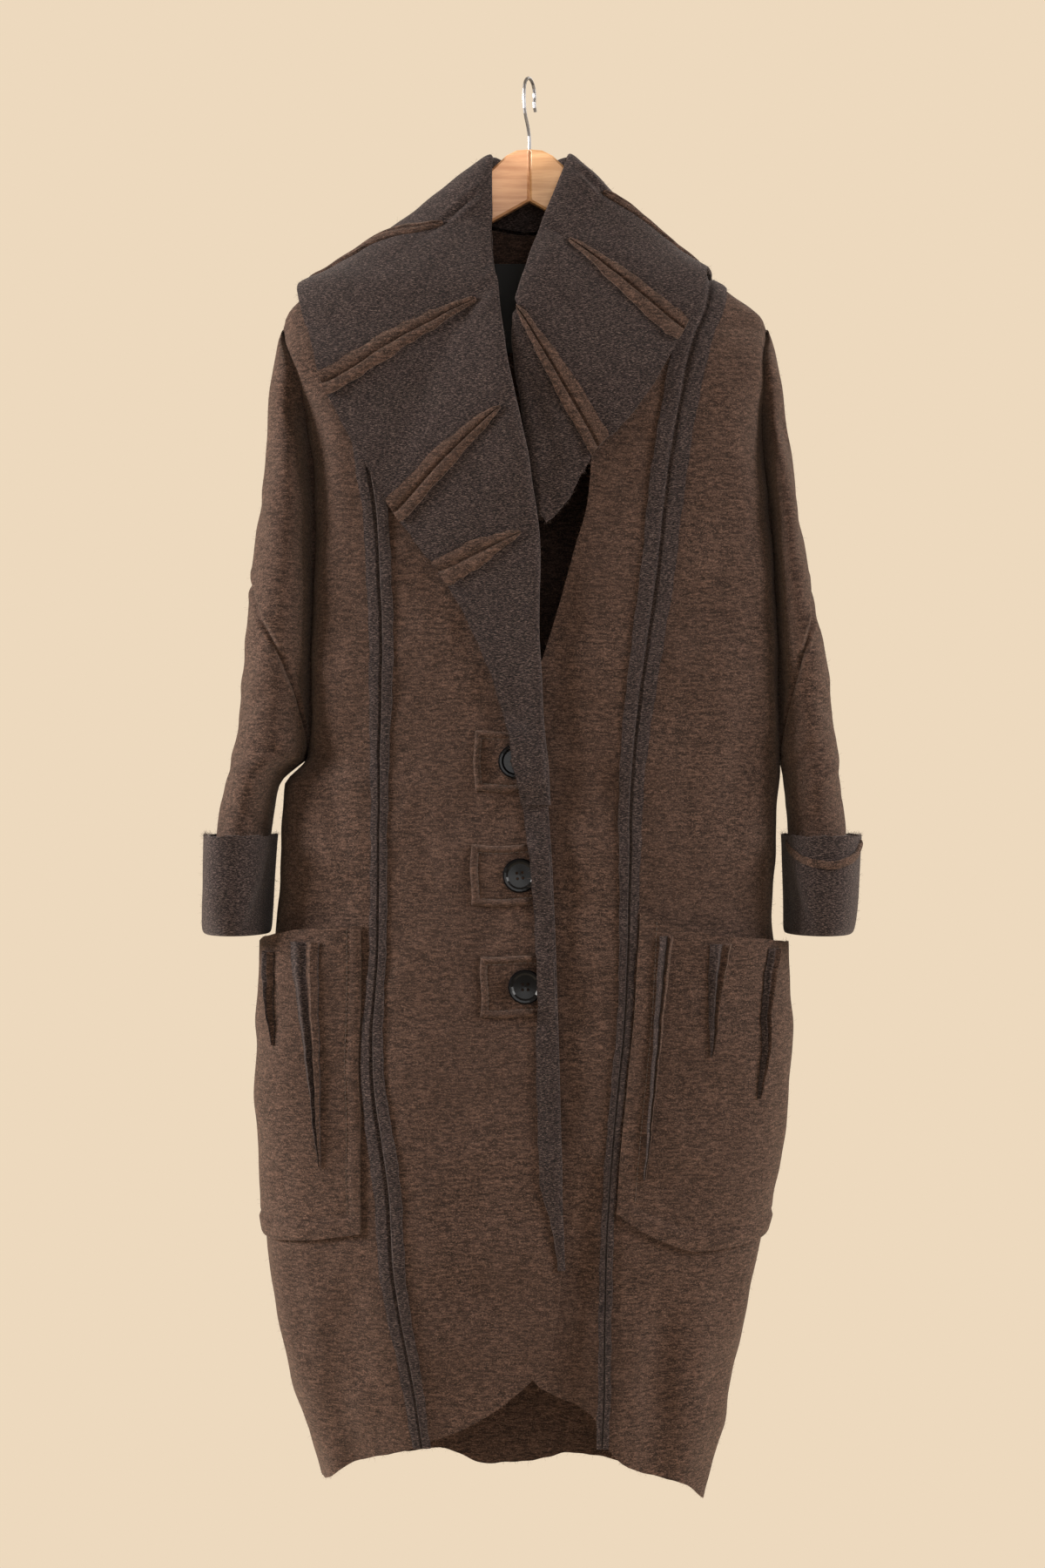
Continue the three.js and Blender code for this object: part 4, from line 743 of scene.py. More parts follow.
# Materials
class Nodes:
    """A short way to write a node tree."""

    def __init__(self, name):
        self.material = bpy.data.materials.new(name)
        self.material.use_nodes = True
        self.tree = self.material.node_tree
        self.shader = self.tree.nodes["Principled BSDF"]
        self.coords = self.tree.nodes.new("ShaderNodeTexCoord").outputs["Object"]

    def node(self, kind, inputs=None, **settings):
        made = self.tree.nodes.new(kind)
        for key, value in settings.items():
            setattr(made, key, value)
        for key, value in (inputs or {}).items():
            self.put(made.inputs[key], value)
        return made

    def put(self, socket, value):
        if isinstance(value, bpy.types.NodeSocket):
            self.tree.links.new(value, socket)
        else:
            socket.default_value = value

    def scaled(self, scale, turn=(0, 0, 0)):
        """The object's coordinates in metres, turned and scaled."""
        return self.node("ShaderNodeMapping", {
            "Vector": self.coords, "Scale": scale, "Rotation": [math.radians(a) for a in turn],
        }).outputs["Vector"]

    def noise(self, scale, size=1, detail=3, roughness=0.5, turn=(0, 0, 0)):
        return self.node("ShaderNodeTexNoise", {
            "Vector": self.scaled(scale, turn), "Scale": size, "Detail": detail, "Roughness": roughness,
        }).outputs["Fac"]

    def ramp(self, value, low, high, start=0.0, end=1.0):
        return self.node("ShaderNodeMapRange", {
            "Value": value, "From Min": low, "From Max": high, "To Min": start, "To Max": end,
        }, interpolation_type="SMOOTHSTEP").outputs["Result"]

    def blend(self, share, first, second, mode="MIX"):
        mixer = self.node("ShaderNodeMix", data_type="RGBA", blend_type=mode)
        self.put(mixer.inputs["Factor"], share)
        self.put(mixer.inputs[6], first)
        self.put(mixer.inputs[7], second)
        return mixer.outputs[2]

    def maths(self, operation, first, second):
        made = self.node("ShaderNodeMath", operation=operation)
        self.put(made.inputs[0], first)
        self.put(made.inputs[1], second)
        return made.outputs[0]

    def bump(self, height, strength, distance, normal=None):
        made = self.node("ShaderNodeBump", {"Height": height, "Strength": strength, "Distance": distance})
        if normal is not None:
            self.put(made.inputs["Normal"], normal)
        return made.outputs["Normal"]

    def finish(self, **inputs):
        for key, value in inputs.items():
            self.put(self.shader.inputs[key.replace("_", " ")], value)
        return self.material


def srgb(red, green, blue):
    """A linear colour from the 0 to 255 values that a screen shows."""
    def linear(value):
        v = value / 255
        return v / 12.92 if v <= 0.04045 else ((v + 0.055) / 1.055) ** 2.4
    return (linear(red), linear(green), linear(blue), 1)


def brown_wool(name="brown_wool"):
    """Boiled wool: fine level streaks, small crimps with a painted highlight on their tops and painted shade
    in their hollows, and a soft nap.
    """
    n = Nodes(name)
    streaks = n.noise((55, 55, 430), detail=4, roughness=0.65)
    crimps = n.noise((165, 165, 480), detail=4, roughness=0.65)
    fibres = n.noise((700, 700, 1000), detail=2)
    clouds = n.noise((9, 9, 9), detail=3)
    shade = n.blend(n.ramp(streaks, 0.36, 0.64), srgb(35, 25, 21), srgb(56, 42, 36))
    # Painted highlight: the tops of the crimps are lighter.
    shade = n.blend(n.ramp(crimps, 0.5, 0.68, 0, 0.7), shade, srgb(84, 64, 55))
    # Painted shade: the hollows between the crimps are darker.
    shade = n.blend(n.ramp(crimps, 0.5, 0.34, 0, 0.75), shade, srgb(18, 12, 9))
    shade = n.blend(n.ramp(fibres, 0.54, 0.68, 0, 0.55), shade, srgb(98, 76, 66))
    shade = n.blend(n.ramp(fibres, 0.46, 0.34, 0, 0.5), shade, srgb(15, 10, 8))
    shade = n.blend(n.ramp(clouds, 0.3, 0.7, 0, 0.25), shade, srgb(42, 30, 25))
    height = n.maths("ADD", n.maths("MULTIPLY", streaks, 0.4), n.maths("MULTIPLY", crimps, 0.9))
    normal = n.bump(height, 0.9, 0.0022)
    normal = n.bump(fibres, 0.6, 0.0006, normal)
    return n.finish(Base_Color=shade, Roughness=0.95, Specular_IOR_Level=0.12, Sheen_Weight=0.12,
                    Sheen_Roughness=0.5, Sheen_Tint=(0.55, 0.42, 0.34, 1), Normal=normal)


def charcoal_wool(name="charcoal_wool"):
    """The reverse of the cloth: a dark heather with light and black fibres lying every way."""
    n = Nodes(name)
    base = n.noise((520, 520, 520), detail=4, roughness=0.7)
    shade = n.blend(n.ramp(base, 0.34, 0.66), srgb(17, 13, 13), srgb(42, 33, 33))
    height = n.maths("MULTIPLY", base, 0.6)
    for turn in [(0, 0, 0), (0, 60, 30), (0, 120, -30), (90, 35, 70)]:
        fibres = n.noise((360, 360, 1500), detail=2, roughness=0.6, turn=turn)
        shade = n.blend(n.ramp(fibres, 0.59, 0.68, 0, 0.6), shade, srgb(86, 73, 69))
        shade = n.blend(n.ramp(fibres, 0.46, 0.35, 0, 0.7), shade, srgb(7, 5, 5))
        height = n.maths("ADD", height, n.maths("MULTIPLY", fibres, 0.3))
    normal = n.bump(height, 0.8, 0.001)
    return n.finish(Base_Color=shade, Roughness=0.95, Specular_IOR_Level=0.12, Sheen_Weight=0.12,
                    Sheen_Roughness=0.5, Sheen_Tint=(0.5, 0.46, 0.47, 1), Normal=normal)


def fibre_fuzz(name, colour):
    n = Nodes(name)
    tone = n.noise((400, 400, 400))
    shade = n.blend(n.ramp(tone, 0.3, 0.7), colour, tuple(min(1, c * 1.9) for c in colour[:3]) + (1,))
    return n.finish(Base_Color=shade, Roughness=0.9, Specular_IOR_Level=0.1)


def hanger_wood(name, warm):
    """Pale wood with fine long grain; one half is a little pinker than the other."""
    n = Nodes(name)
    light = srgb(196, 150, 112) if warm else srgb(198, 156, 114)
    dark = srgb(172, 122, 86) if warm else srgb(174, 130, 88)
    along = (0, -38 if warm else 38, 0)
    grain = n.noise((18, 60, 260), detail=5, roughness=0.6, turn=along)
    pores = n.noise((60, 400, 1400), detail=2, turn=along)
    shade = n.blend(n.ramp(grain, 0.3, 0.7), light, dark)
    shade = n.blend(n.ramp(pores, 0.6, 0.75, 0, 0.25), shade, srgb(136, 92, 62))
    return n.finish(Base_Color=shade, Roughness=0.42, Coat_Weight=0.2, Coat_Roughness=0.25,
                    Normal=n.bump(grain, 0.15, 0.0004))


def hook_steel():
    n = Nodes("hook_steel")
    brushed = n.noise((900, 900, 60), detail=2)
    return n.finish(Base_Color=n.blend(brushed, srgb(92, 92, 95), srgb(128, 128, 131)), Metallic=1.0,
                    Roughness=0.34, Normal=n.bump(brushed, 0.06, 0.0002))


def button_black():
    n = Nodes("button_black")
    haze = n.noise((160, 160, 160), detail=3)
    return n.finish(Base_Color=n.blend(haze, srgb(5, 5, 6), srgb(9, 9, 10)), Roughness=0.14,
                    Specular_IOR_Level=0.07)


def label_black():
    n = Nodes("label_black")
    weave = n.node("ShaderNodeTexWave", {"Vector": n.scaled((1400, 1400, 1400)), "Scale": 1, "Distortion": 1},
                   bands_direction="Z").outputs["Fac"]
    across = n.noise((900, 900, 250), detail=2)
    shade = n.blend(n.maths("MULTIPLY", weave, across), srgb(8, 8, 9), srgb(24, 24, 26))
    return n.finish(Base_Color=shade, Roughness=0.7, Normal=n.bump(weave, 0.3, 0.0002))


def thread_material():
    n = Nodes("thread")
    twist = n.noise((2500, 2500, 2500), detail=1)
    return n.finish(Base_Color=n.blend(twist, srgb(40, 32, 28), srgb(66, 54, 47)), Roughness=0.7)


BROWN = SimpleNamespace(finish=brown_wool(), slot="brown wool")
CHARCOAL = SimpleNamespace(finish=charcoal_wool(), slot="charcoal wool")


# Panels
def height_where(high, low, inside):
    """The first height going down at which inside(height) holds, column by column."""
    top, bottom = high, low
    for _ in range(40):
        level = (top + bottom) / 2
        hit = inside(level)
        bottom = np.where(hit, level, bottom)
        top = np.where(hit, top, level)
    return bottom


def column_top(column_x, count, neck=False):
    """Where each column of a panel meets the shoulder's ridge, or the back neck where that is lower."""
    def on_body(level):
        x = column_x(level)
        return (x > BODY.left(level)) & (x < BODY.right(level))

    ridge = height_where(np.full(count, SHOULDER_TOP), np.full(count, SHOULDER_TIP), on_body)
    if not neck:
        return ridge
    start = column_x(ridge)
    dropped = np.minimum(ridge, SHOULDER_TOP + BACK_NECK_DROP * BACK_NECK(start))
    return np.where(np.abs(start) < NECK_HALF_WIDTH, dropped, ridge)


def column_bottom(column_x, count, hem, seed):
    """Where each column of a panel meets the hem, with the small waves of its raw edge."""
    bottom = height_where(np.full(count, HEM_SEARCH_TOP), np.full(count, RING_BOTTOM),
                          lambda level: level <= hem(column_x(level)))
    return bottom + raw_edge(column_x(bottom), seed)


def overlap_drop(x, height):
    """How far the right front sinks where it lies under the left one."""
    below = smooth_step((OVERLAP_TOP - height) / OVERLAP_FADE)
    return OVERLAP_DEPTH * smooth_step((OVERLAP_END - x) / OVERLAP_WIDTH) * below


def row_heights(top, bottom):
    """Heights of every row of each column, from the ridge or neck down to the hem."""
    j = np.arange(ROW_COUNT + 1)[None, :]
    top, bottom = top[:, None], bottom[:, None]
    upper = mix(top, ARMHOLE_TOP, (np.minimum(j, TOP_ROWS) / TOP_ROWS) ** 2.2)
    middle = mix(ARMHOLE_TOP, UNDERARM, (j - TOP_ROWS) / ARMHOLE_ROWS)
    lower = mix(UNDERARM, bottom, (j - TOP_ROWS - ARMHOLE_ROWS) / LOWER_ROWS)
    return np.where(j <= TOP_ROWS, upper, np.where(j <= TOP_ROWS + ARMHOLE_ROWS, middle, lower))


def centre_panel(name, lines, face, hem, columns, drop=None):
    """A panel between two lines x(height), from the shoulder or neck to the hem."""
    start_line, end_line = lines
    shares = np.linspace(0, 1, columns + 1)

    def column_x(level):
        return mix(start_line(level), end_line(level), shares)

    tops = column_top(column_x, columns + 1, neck=face == BACK) - RIDGE_MARGIN
    bottoms = column_bottom(column_x, columns + 1, hem, face * columns)
    height = row_heights(tops, bottoms)
    x = mix(start_line(height), end_line(height), shares[:, None])
    sink = drop(x, height) if drop else 0
    cloth_piece(name, [on_coat_at(x, height, face, lift - sink) for lift in (0, -CLOTH)], BROWN)


def shifted(line, distance):
    return lambda level: line(level) + distance


# Sleeves and the side panels that reach down the arm to them
def sleeve_section(sleeve, height):
    """An ellipse at each height that meets the body along the armhole's edge."""
    outer = sleeve.lines.outer(height)
    depth = sleeve.lines.depth(height)
    above = height > UNDERARM
    armhole = np.where(above, BODY.armhole(height), 0)
    inner = np.where(above, sleeve.side(height), sleeve.lines.inner(height))
    opening = np.sqrt(1 - (armhole / depth) ** 2)
    half = np.abs(outer - inner) / (1 + opening)
    return outer - sleeve.sign * half, half, depth, math.pi - np.arcsin(armhole / depth)


def sleeve_relief(sleeve, turn, height, points):
    relief = 0.8 * lumps(points)
    for middle, level, slope, length, width, depth in SLEEVE_CREASES:
        off = height - level - slope * (turn - middle)
        fade = np.exp(-((turn - middle) / (0.5 * length)) ** 2)
        relief = relief + depth * np.exp(-(off / width) ** 2) * fade
    return relief * smooth_step((SLEEVE_CREASE_TOP - height) / 60)


def sleeve_point(sleeve, turn, height, lift=0, whole=False, relief=1):
    """A point round the sleeve: turn 0 outside, 1 and -1 at the armhole's edge or right inside."""
    turn, height = np.broadcast_arrays(np.asarray(turn, float), np.asarray(height, float))
    middle, half, depth, end = sleeve_section(sleeve, height)
    angle = turn * (math.pi if whole else end)
    plain = np.stack([middle + sleeve.sign * half * np.cos(angle), depth * np.sin(angle), height], axis=-1)
    lift = lift + relief * sleeve_relief(sleeve, angle / math.pi, height, plain)
    outward = np.where(lift > 0, 0.25 * lift, 0)
    x = middle + sleeve.sign * (outward + (half + lift - outward) * np.cos(angle))
    return np.stack([x, (depth + lift) * np.sin(angle), height], axis=-1)


def sleeve_seam(sleeve):
    """The slanted seam where the sleeve is set on, from the outside to the armhole's edge."""
    rounds = np.linspace(0, 1, SLEEVE_COLUMNS + 1)

    def turn_of(height):
        return rounds * sleeve_section(sleeve, np.maximum(height, UNDERARM + 0.01))[3] / math.pi

    height = np.full(SLEEVE_COLUMNS + 1, float(SLEEVE_SEAM_OUTSIDE))
    for _ in range(60):
        share = np.minimum(1, turn_of(height)) ** 1.4
        height = mix(height, mix(SLEEVE_SEAM_OUTSIDE, UNDERARM, share), 0.5)
    return height, turn_of(height)


def sleeve_seam_relief(distance):
    """The cloth sinks into the sleeve's seam and puffs beside it."""
    return 1.1 * np.exp(-((distance - 10) / 5) ** 2) - 2.6 * np.exp(-(distance / 4.5) ** 2)


def shoulder_tip(body_line, arm_line):
    """The small patch that closes the shoulder between the ridge and the top of the arm."""
    ridge, corner = body_line[0], body_line[TOP_ROWS]
    down = ((ridge - body_line[:TOP_ROWS]) / (ridge - corner))[None, :, 2:]
    across = ((np.arange(len(arm_line)) + 1) / len(arm_line))[:, None, None]
    straight = mix(ridge, corner, down)
    return mix(ridge, arm_line[:, None], down) + (1 - across) * (body_line[None, :TOP_ROWS] - straight)


def sunk_at_armhole(grid, column):
    """Deepens the valley between the body and the sleeve."""
    line = grid[column][None]
    distance = np.hypot(grid[..., 0] - line[..., 0], grid[..., 1] - line[..., 1])
    height = grid[..., 2]
    fade = smooth_step((VALLEY_TOP - height) / 60) * smooth_step((height - VALLEY_BOTTOM) / 30)
    depth = ARMHOLE_VALLEY * BODY.armhole(height)
    grid[..., 1] -= np.sign(grid[..., 1]) * depth * fade * np.exp(-(distance / VALLEY_WIDTH) ** 2)
    return grid


def arm_grid(sleeve, face, down, body_edge, lift):
    """The dropped shoulder, from the armhole's edge to the outside of the arm, down to the sleeve's seam."""
    seam_heights, _ = sleeve_seam(sleeve)
    k = SLEEVE_COLUMNS - np.arange(1, SLEEVE_COLUMNS + 1)
    rounds = np.maximum(k / SLEEVE_COLUMNS, 0.001)[:, None] * face
    gusset = SHOULDER_GUSSET * (1 - k / SLEEVE_COLUMNS)[:, None] ** 0.8
    seam = seam_heights[k][:, None]
    height = mix(ARMHOLE_TOP + gusset, seam + HALF_GAP, down)
    grid = sleeve_point(sleeve, rounds, height, lift + sleeve_seam_relief(height - seam))
    grid[:, :TOP_ROWS] = shoulder_tip(body_edge, grid[:, TOP_ROWS])
    return grid


def side_panel(name, seam_line, sleeve, face, hem):
    """From its seam to the side, and over the shoulder to the sleeve's seam."""
    shares = np.linspace(0, 1, SIDE_COLUMNS + 1)
    shoulder_end = sleeve.side(SHOULDER_END)

    def side_line(level):
        return np.where(level > SHOULDER_END, shoulder_end, sleeve.side(level))

    def column_x(level):
        return mix(seam_line(level), side_line(level), shares)

    tops = column_top(column_x, SIDE_COLUMNS + 1) - RIDGE_MARGIN
    bottoms = column_bottom(column_x, SIDE_COLUMNS + 1, hem, face * 3 + sleeve.sign)
    height = row_heights(tops, bottoms)
    x = mix(seam_line(height), side_line(height), shares[:, None])
    turn = np.clip(turn_at(x, height, FRONT), -SIDE_TURN, SIDE_TURN)
    turn = turn if face == FRONT else 2 - turn
    down = np.clip((np.arange(ROW_COUNT + 1) - TOP_ROWS) / ARMHOLE_ROWS, 0, 1)[None, :]
    grids = []
    for lift in (0, -CLOTH):
        body = on_coat(turn, height, lift)
        arm = arm_grid(sleeve, face, down, body[-1], lift)
        grids.append(sunk_at_armhole(np.concatenate([body, arm]), SIDE_COLUMNS))
    keep = np.ones((SIDE_COLUMNS + SLEEVE_COLUMNS, ROW_COUNT), dtype=bool)
    keep[SIDE_COLUMNS:, TOP_ROWS + ARMHOLE_ROWS:] = False
    cloth_piece(name, grids, BROWN, keep=keep)


def sleeve_tube(side):
    """The lower sleeve, from its slanted seam into the cuff."""
    sleeve = SLEEVES[side]
    heights, turns = sleeve_seam(sleeve)
    back = np.arange(SLEEVE_COLUMNS + 1)
    around = np.concatenate([-back[::-1], back[1:-1]])
    column = np.abs(around)
    turn = (np.sign(around) * turns[column])[:, None]
    underarm_gap = 2.5 * (column / SLEEVE_COLUMNS) ** 5
    top = (heights[column] - HALF_GAP - underarm_gap)[:, None]
    down = (np.linspace(0, 1, SLEEVE_ROWS + 1) ** 1.3)[None, :]
    height = mix(top, SLEEVE_END, down)
    sink = sleeve_seam_relief(top - height)
    grids = [sleeve_point(sleeve, turn, height, lift + sink, whole=True) for lift in (0, -CLOTH)]
    cloth_piece(f"sleeve_{side}", grids, BROWN, closed=True)


# Cuffs
def cuff_dents(turn, sleeve):
    return 1.5 * np.sin(turn * 9 + sleeve.sign) + 1.1 * np.sin(turn * 17 + 1)


def cuff_sway(turn, midline, sleeve):
    """How far the turned-back layer stands out: dents, the lap in front and the tuck behind it."""
    up = (midline[:, 1] - CUFF_FOLD) / (CUFF_TOP - CUFF_FOLD)
    lap_edge = mix(CUFF_LAP_BOTTOM, CUFF_LAP_TOP, up)
    past_lap = (turn[:, None] - lap_edge[None, :]) / 0.025
    lap = CUFF_LAP_RISE * smooth_step(past_lap) * smooth_step((0.1 - turn[:, None]) / 0.3)
    behind = smooth_step(-past_lap) * smooth_step((turn[:, None] + 1) / 0.12)
    return cuff_dents(turn, sleeve)[:, None] + lap - CUFF_TUCK * behind * smooth_step(1 - up)[None, :]


def cuff(side):
    """A turned-back cuff of the charcoal reverse, with its lap at the front."""
    sleeve = SLEEVES[side]
    midline = catmull(np.array(CUFF_MIDLINE), np.linspace(0, len(CUFF_MIDLINE) - 1, CUFF_STEPS + 1))
    along = np.gradient(midline, axis=0)
    across = unit(np.stack([-along[:, 1], along[:, 0]], axis=-1))
    turn = np.linspace(-1, 1, CUFF_COLUMNS, endpoint=False)
    outside = smooth_step((np.arange(CUFF_STEPS + 1) / CUFF_STEPS - 0.45) / 0.3)[None, :]
    sway = cuff_sway(turn, midline, sleeve)
    ragged = raw_edge(turn * 210, 4 + sleeve.sign, 1.1)[:, None]
    grids = []
    for half in (-0.5 * CLOTH, 0.5 * CLOTH):
        line = midline + across * half
        grow = line[None, :, 0] + sway * outside
        height = line[None, :, 1] + ragged * outside ** 3
        grids.append(sleeve_point(sleeve, turn[:, None], height, grow, whole=True, relief=0.4))
    cloth_piece(f"cuff_{side}", grids, CHARCOAL, closed=True)


def cuff_trim():
    """The raw brown strip that sags along the top of the right cuff's front."""
    sleeve = SLEEVES["right"]
    share = np.linspace(0, 1, 61)
    turn = mix(*TRIM_TURNS, share)
    sag = TRIM_DROP + TRIM_SAG * np.sin(math.pi * share) ** 0.8
    down = np.linspace(0, 1, 7)
    height = (CUFF_TOP - sag)[:, None] - TRIM_WIDTH * down[None, :]
    height = height + raw_edge(share * 150, 2, 0.5)[:, None]
    bulge = 1.2 * np.sin(math.pi * down)[None, :] + 0 * height
    base = TRIM_LIFT + cuff_dents(turn, sleeve)[:, None]
    grids = [sleeve_point(sleeve, turn[:, None], height, base + lift, whole=True, relief=0.4)
             for lift in (2 + bulge, 0 * bulge)]
    cloth_piece("cuff_trim_right", grids, BROWN)


# Seam strips
def flap_height(place, height, seed):
    """Two flat allowances with a groove between them and edges that curl a little."""
    side = np.abs(place) * 2
    groove = smooth_step((side - 0.03) / 0.16)
    curl = 0.25 * np.sin(height / 31 + seed) + 0.2 * np.sin(height / 12.7 + 2 * seed)
    edge = 1 - 0.3 * smooth_step((side - 0.75) / 0.25)
    return STRIP_HEIGHT * (0.12 + 0.98 * groove) * edge + curl * side


def seam_strip(name, line, width_at, face, bottom, seed):
    """The pair of raw allowances along a panel seam."""
    places = np.array(STRIP_PLACES)
    tops = column_top(lambda level: line(level) + places * width_at(level), len(places))
    height = row_heights(np.minimum(STRIP_TOP, tops - 0.5), np.full(len(places), float(bottom)))
    wavy = np.where(places[:, None] > 0, raw_edge(height, seed), raw_edge(height, seed + 9))
    x = line(height) + places[:, None] * (width_at(height) + 2 * wavy)
    thick = flap_height(places[:, None], height, seed)
    grids = [on_coat_at(x, height, face, LAID + lift) for lift in (thick, 0 * thick)]
    cloth_piece(f"seam_strip_{name}", grids, CHARCOAL)


# Pockets
def pocket_turn(pocket, share, height):
    """The turn round the coat at a share across the pocket, from its inner edge."""
    start = turn_at(pocket.inner(height), height, FRONT)
    return mix(start, pocket.sign * (1 + pocket.wrap), share)


def pocket_hollow(pocket, share, height):
    """The hollow behind the pocket, from its gaping top down."""
    top = pocket.top(share)
    down = np.clip((top - height) / (top - pocket.bottom(share)), 0, 1)
    return POCKET_GAPE * np.sin(math.pi * np.clip(share, 0, 1)) ** 0.6 * (1 - down ** 2.2)


def pocket_face(spec, share, down):
    """Turn, height, hollow behind and raised welt of the pocket, by shares across and down."""
    height = mix(spec.top(share), spec.bottom(share), down)
    height = height + raw_edge(share * 150, 3 + spec.sign, 0.7) * (1 - down)
    welt = POCKET_WELT * smooth_step((POCKET_WELT_LINE - share) / 0.012) * smooth_step((share + 0.02) / 0.02)
    hem = POCKET_WELT * smooth_step((down - 0.94) / 0.012)
    groove = -1.2 * np.exp(-((down - POCKET_HEM_LINE) / 0.004) ** 2)
    sag = 2.0 * np.sin(share * 8 + spec.sign) * down * (1 - down)
    return (pocket_turn(spec, share, height), height, LAID + pocket_hollow(spec, share, height),
            np.maximum(welt, hem) + groove + sag)


def pocket(side):
    """A patch pocket with a gaping top, a welt along its inner edge and a stitched hem."""
    share = np.concatenate([[0, 0.012, 0.035, 0.045, 0.055], np.linspace(0.08, 1, 40)])[:, None]
    down = np.concatenate([np.linspace(0, 0.9, 44), [0.92, 0.935, 0.945, 0.955, 0.975, 1]])[None, :]
    turn, height, hollow, raised = pocket_face(POCKETS[side], share, down)
    grids = [on_coat(turn, height, hollow + lift) for lift in (CLOTH + raised, 0 * raised)]
    cloth_piece(f"pocket_{side}", grids, BROWN)


def pocket_dart(dart):
    """Raw allowances that narrow to a point down the pocket: charcoal on the left, brown on the right."""
    spec = POCKETS[dart["side"]]
    place = np.linspace(0, 1, 17)[:, None]
    share = np.linspace(0, 1, 61)[None, :]
    height = mix(dart["top"], dart["bottom"], share) + 0 * place
    left = mix(dart["start"], dart["tip"] - 1, share) + raw_edge(height, 1, 0.6)
    right = mix(dart["end"], dart["tip"] + 1, share) + raw_edge(height, 6, 0.6)
    turn = turn_at(mix(left, right, place), height, FRONT)
    start = pocket_turn(spec, 0, height)
    across = (turn - start) / (pocket_turn(spec, 1, height) - start)
    narrowing = smooth_step((1 - share) / 0.3)
    flaps = 4.6 * np.exp(-((place - 0.3) / 0.17) ** 2) + 5.6 * np.exp(-((place - 0.8) / 0.13) ** 2)
    top = 1.2 + flaps * (0.35 + 0.65 * narrowing)
    base = 2 * LAID + pocket_hollow(spec, across, height) + CLOTH
    grids = [on_coat(turn, height, base + lift) for lift in (top, 0 * top)]
    name = f"pocket_dart_{dart['name']}"
    piece = wall(name, *grids, CHARCOAL.finish)
    piece.data.materials.append(BROWN.finish)
    rows = share.size - 1
    for index in range(BROWN_FLAP_COLUMN * rows, (place.size - 1) * rows):
        piece.data.polygons[index].material_index = 1
    dress(piece, name, CHARCOAL.slot)


# Buttons, their tabs and the turned front edge
def button_rise(x, height):
    """How far the turned edge stands off to pass over tabs and buttons."""
    rise = 0 * (x + height)
    for spec in BUTTONS:
        distance = np.hypot(x - spec["x"], height - spec["height"])
        near = 1 - smooth_step((distance - BUTTON_RADIUS - 5) / 20)
        rise = np.maximum(rise, (BUTTON_HEIGHT + 1.2) * near)
    return rise


def tab_face(number, spec, u, v):
    """Place and top of the tab, lowest where the turned edge lies over it."""
    edge = np.minimum(np.minimum(u, TAB_WIDTH - u), np.minimum(v, TAB_HEIGHT - v))
    welt = 2.4 * np.exp(-((edge - 0.5 * TAB_BORDER) / (0.4 * TAB_BORDER)) ** 4)
    stitch = -0.9 * np.exp(-((edge - TAB_BORDER) / 0.9) ** 2)
    height = spec["height"] + TAB_HEIGHT / 2 - v + 0.8 * np.sin(u / 9 + number)
    limit = np.minimum(spec["tab_left"] + TAB_WIDTH, LEFT_EDGE(height) - 2)
    x = mix(spec["tab_left"] + 0.8 * np.sin(v / 8 + number), limit, u / TAB_WIDTH)
    under_edge = smooth_step((x - EDGE_STRIP_INNER(height) + 4) / 3)
    return x, height, mix(1.3 + welt + stitch, 0.5, under_edge)


def button_tab(number, spec):
    """A rectangle of brown cloth with a turned, slightly puffed border."""
    u = np.linspace(0, TAB_WIDTH, 49)[:, None]
    v = np.linspace(0, TAB_HEIGHT, 41)[None, :]
    x, height, top = tab_face(number, spec, u, v)
    grids = [on_coat_at(x, height, FRONT, LAID + lift) for lift in (top, 0 * top)]
    cloth_piece(f"button_tab_{number}", grids, BROWN)


def front_edge_strip():
    """The front edge turned over to the charcoal reverse: round the edge first, then flat beside it."""
    height = np.linspace(COLLAR_END - 0.6, EDGE_STRIP_END, 161)
    edge = LEFT_EDGE(height) + 1.4
    inner = EDGE_STRIP_INNER(height) + raw_edge(height, 3, 0.7)
    angles = np.radians(np.linspace(-90, 90, 7))
    shares = np.linspace(0.06, 1, 14)

    def at_edge(lift, beyond):
        return on_coat_at(edge, height, FRONT, lift) + [beyond, 0, 0]

    def beside(share, lift):
        x = mix(edge + 1, inner, share)
        return on_coat_at(x, height, FRONT, lift + button_rise(x, height))

    outer = [at_edge(0.7 + 1.9 * math.sin(angle), 0.6 + 1.8 * math.cos(angle)) for angle in angles]
    outer += [beside(share, 0.8 + CLOTH + 0.5 * math.sin(share * math.pi)) for share in shares]
    under = [at_edge(0.25 + 0.35 * k, 0.35) for k in range(len(angles))]
    under += [beside(share, 0.5) for share in shares]
    cloth_piece("front_edge_strip", [np.stack(outer), np.stack(under)], CHARCOAL)


# Collar
def roll_place(row):
    return np.array(row[3:6], float)


def collar_station(rows, index):
    """The points across the collar at one station: neck, stand, roll, two puffed ones and the edge."""
    station = SimpleNamespace(**dict(zip(COLLAR_COLUMNS, rows[index])))
    neck = on_coat_at(station.neck_x, station.neck_z, station.face, 0.2, relief=0)
    if station.face == BACK:
        neck = neck + np.array([0, 0, 2])
    roll = roll_place(rows[index])
    edge = on_coat_at(station.edge_x, station.edge_z, station.face, COLLAR_CLEARANCE, relief=0)
    before, after = rows[max(0, index - 1)], rows[min(len(rows) - 1, index + 1)]
    along = np.array([1, 0, 0]) if index == 0 else roll_place(after) - roll_place(before)
    out = unit(np.cross(along, edge - roll))
    if out @ ((roll + edge) / 2 - np.array([0, 0, roll[2] - 150])) < 0:
        out = -out
    stand = mix(neck, roll, 0.72)
    first = mix(roll, edge, 0.12) + out * (0.5 * station.lift + 2)
    half = mix(roll, edge, 0.52) + out * station.lift
    return np.array([neck, stand, roll, first, half, edge])


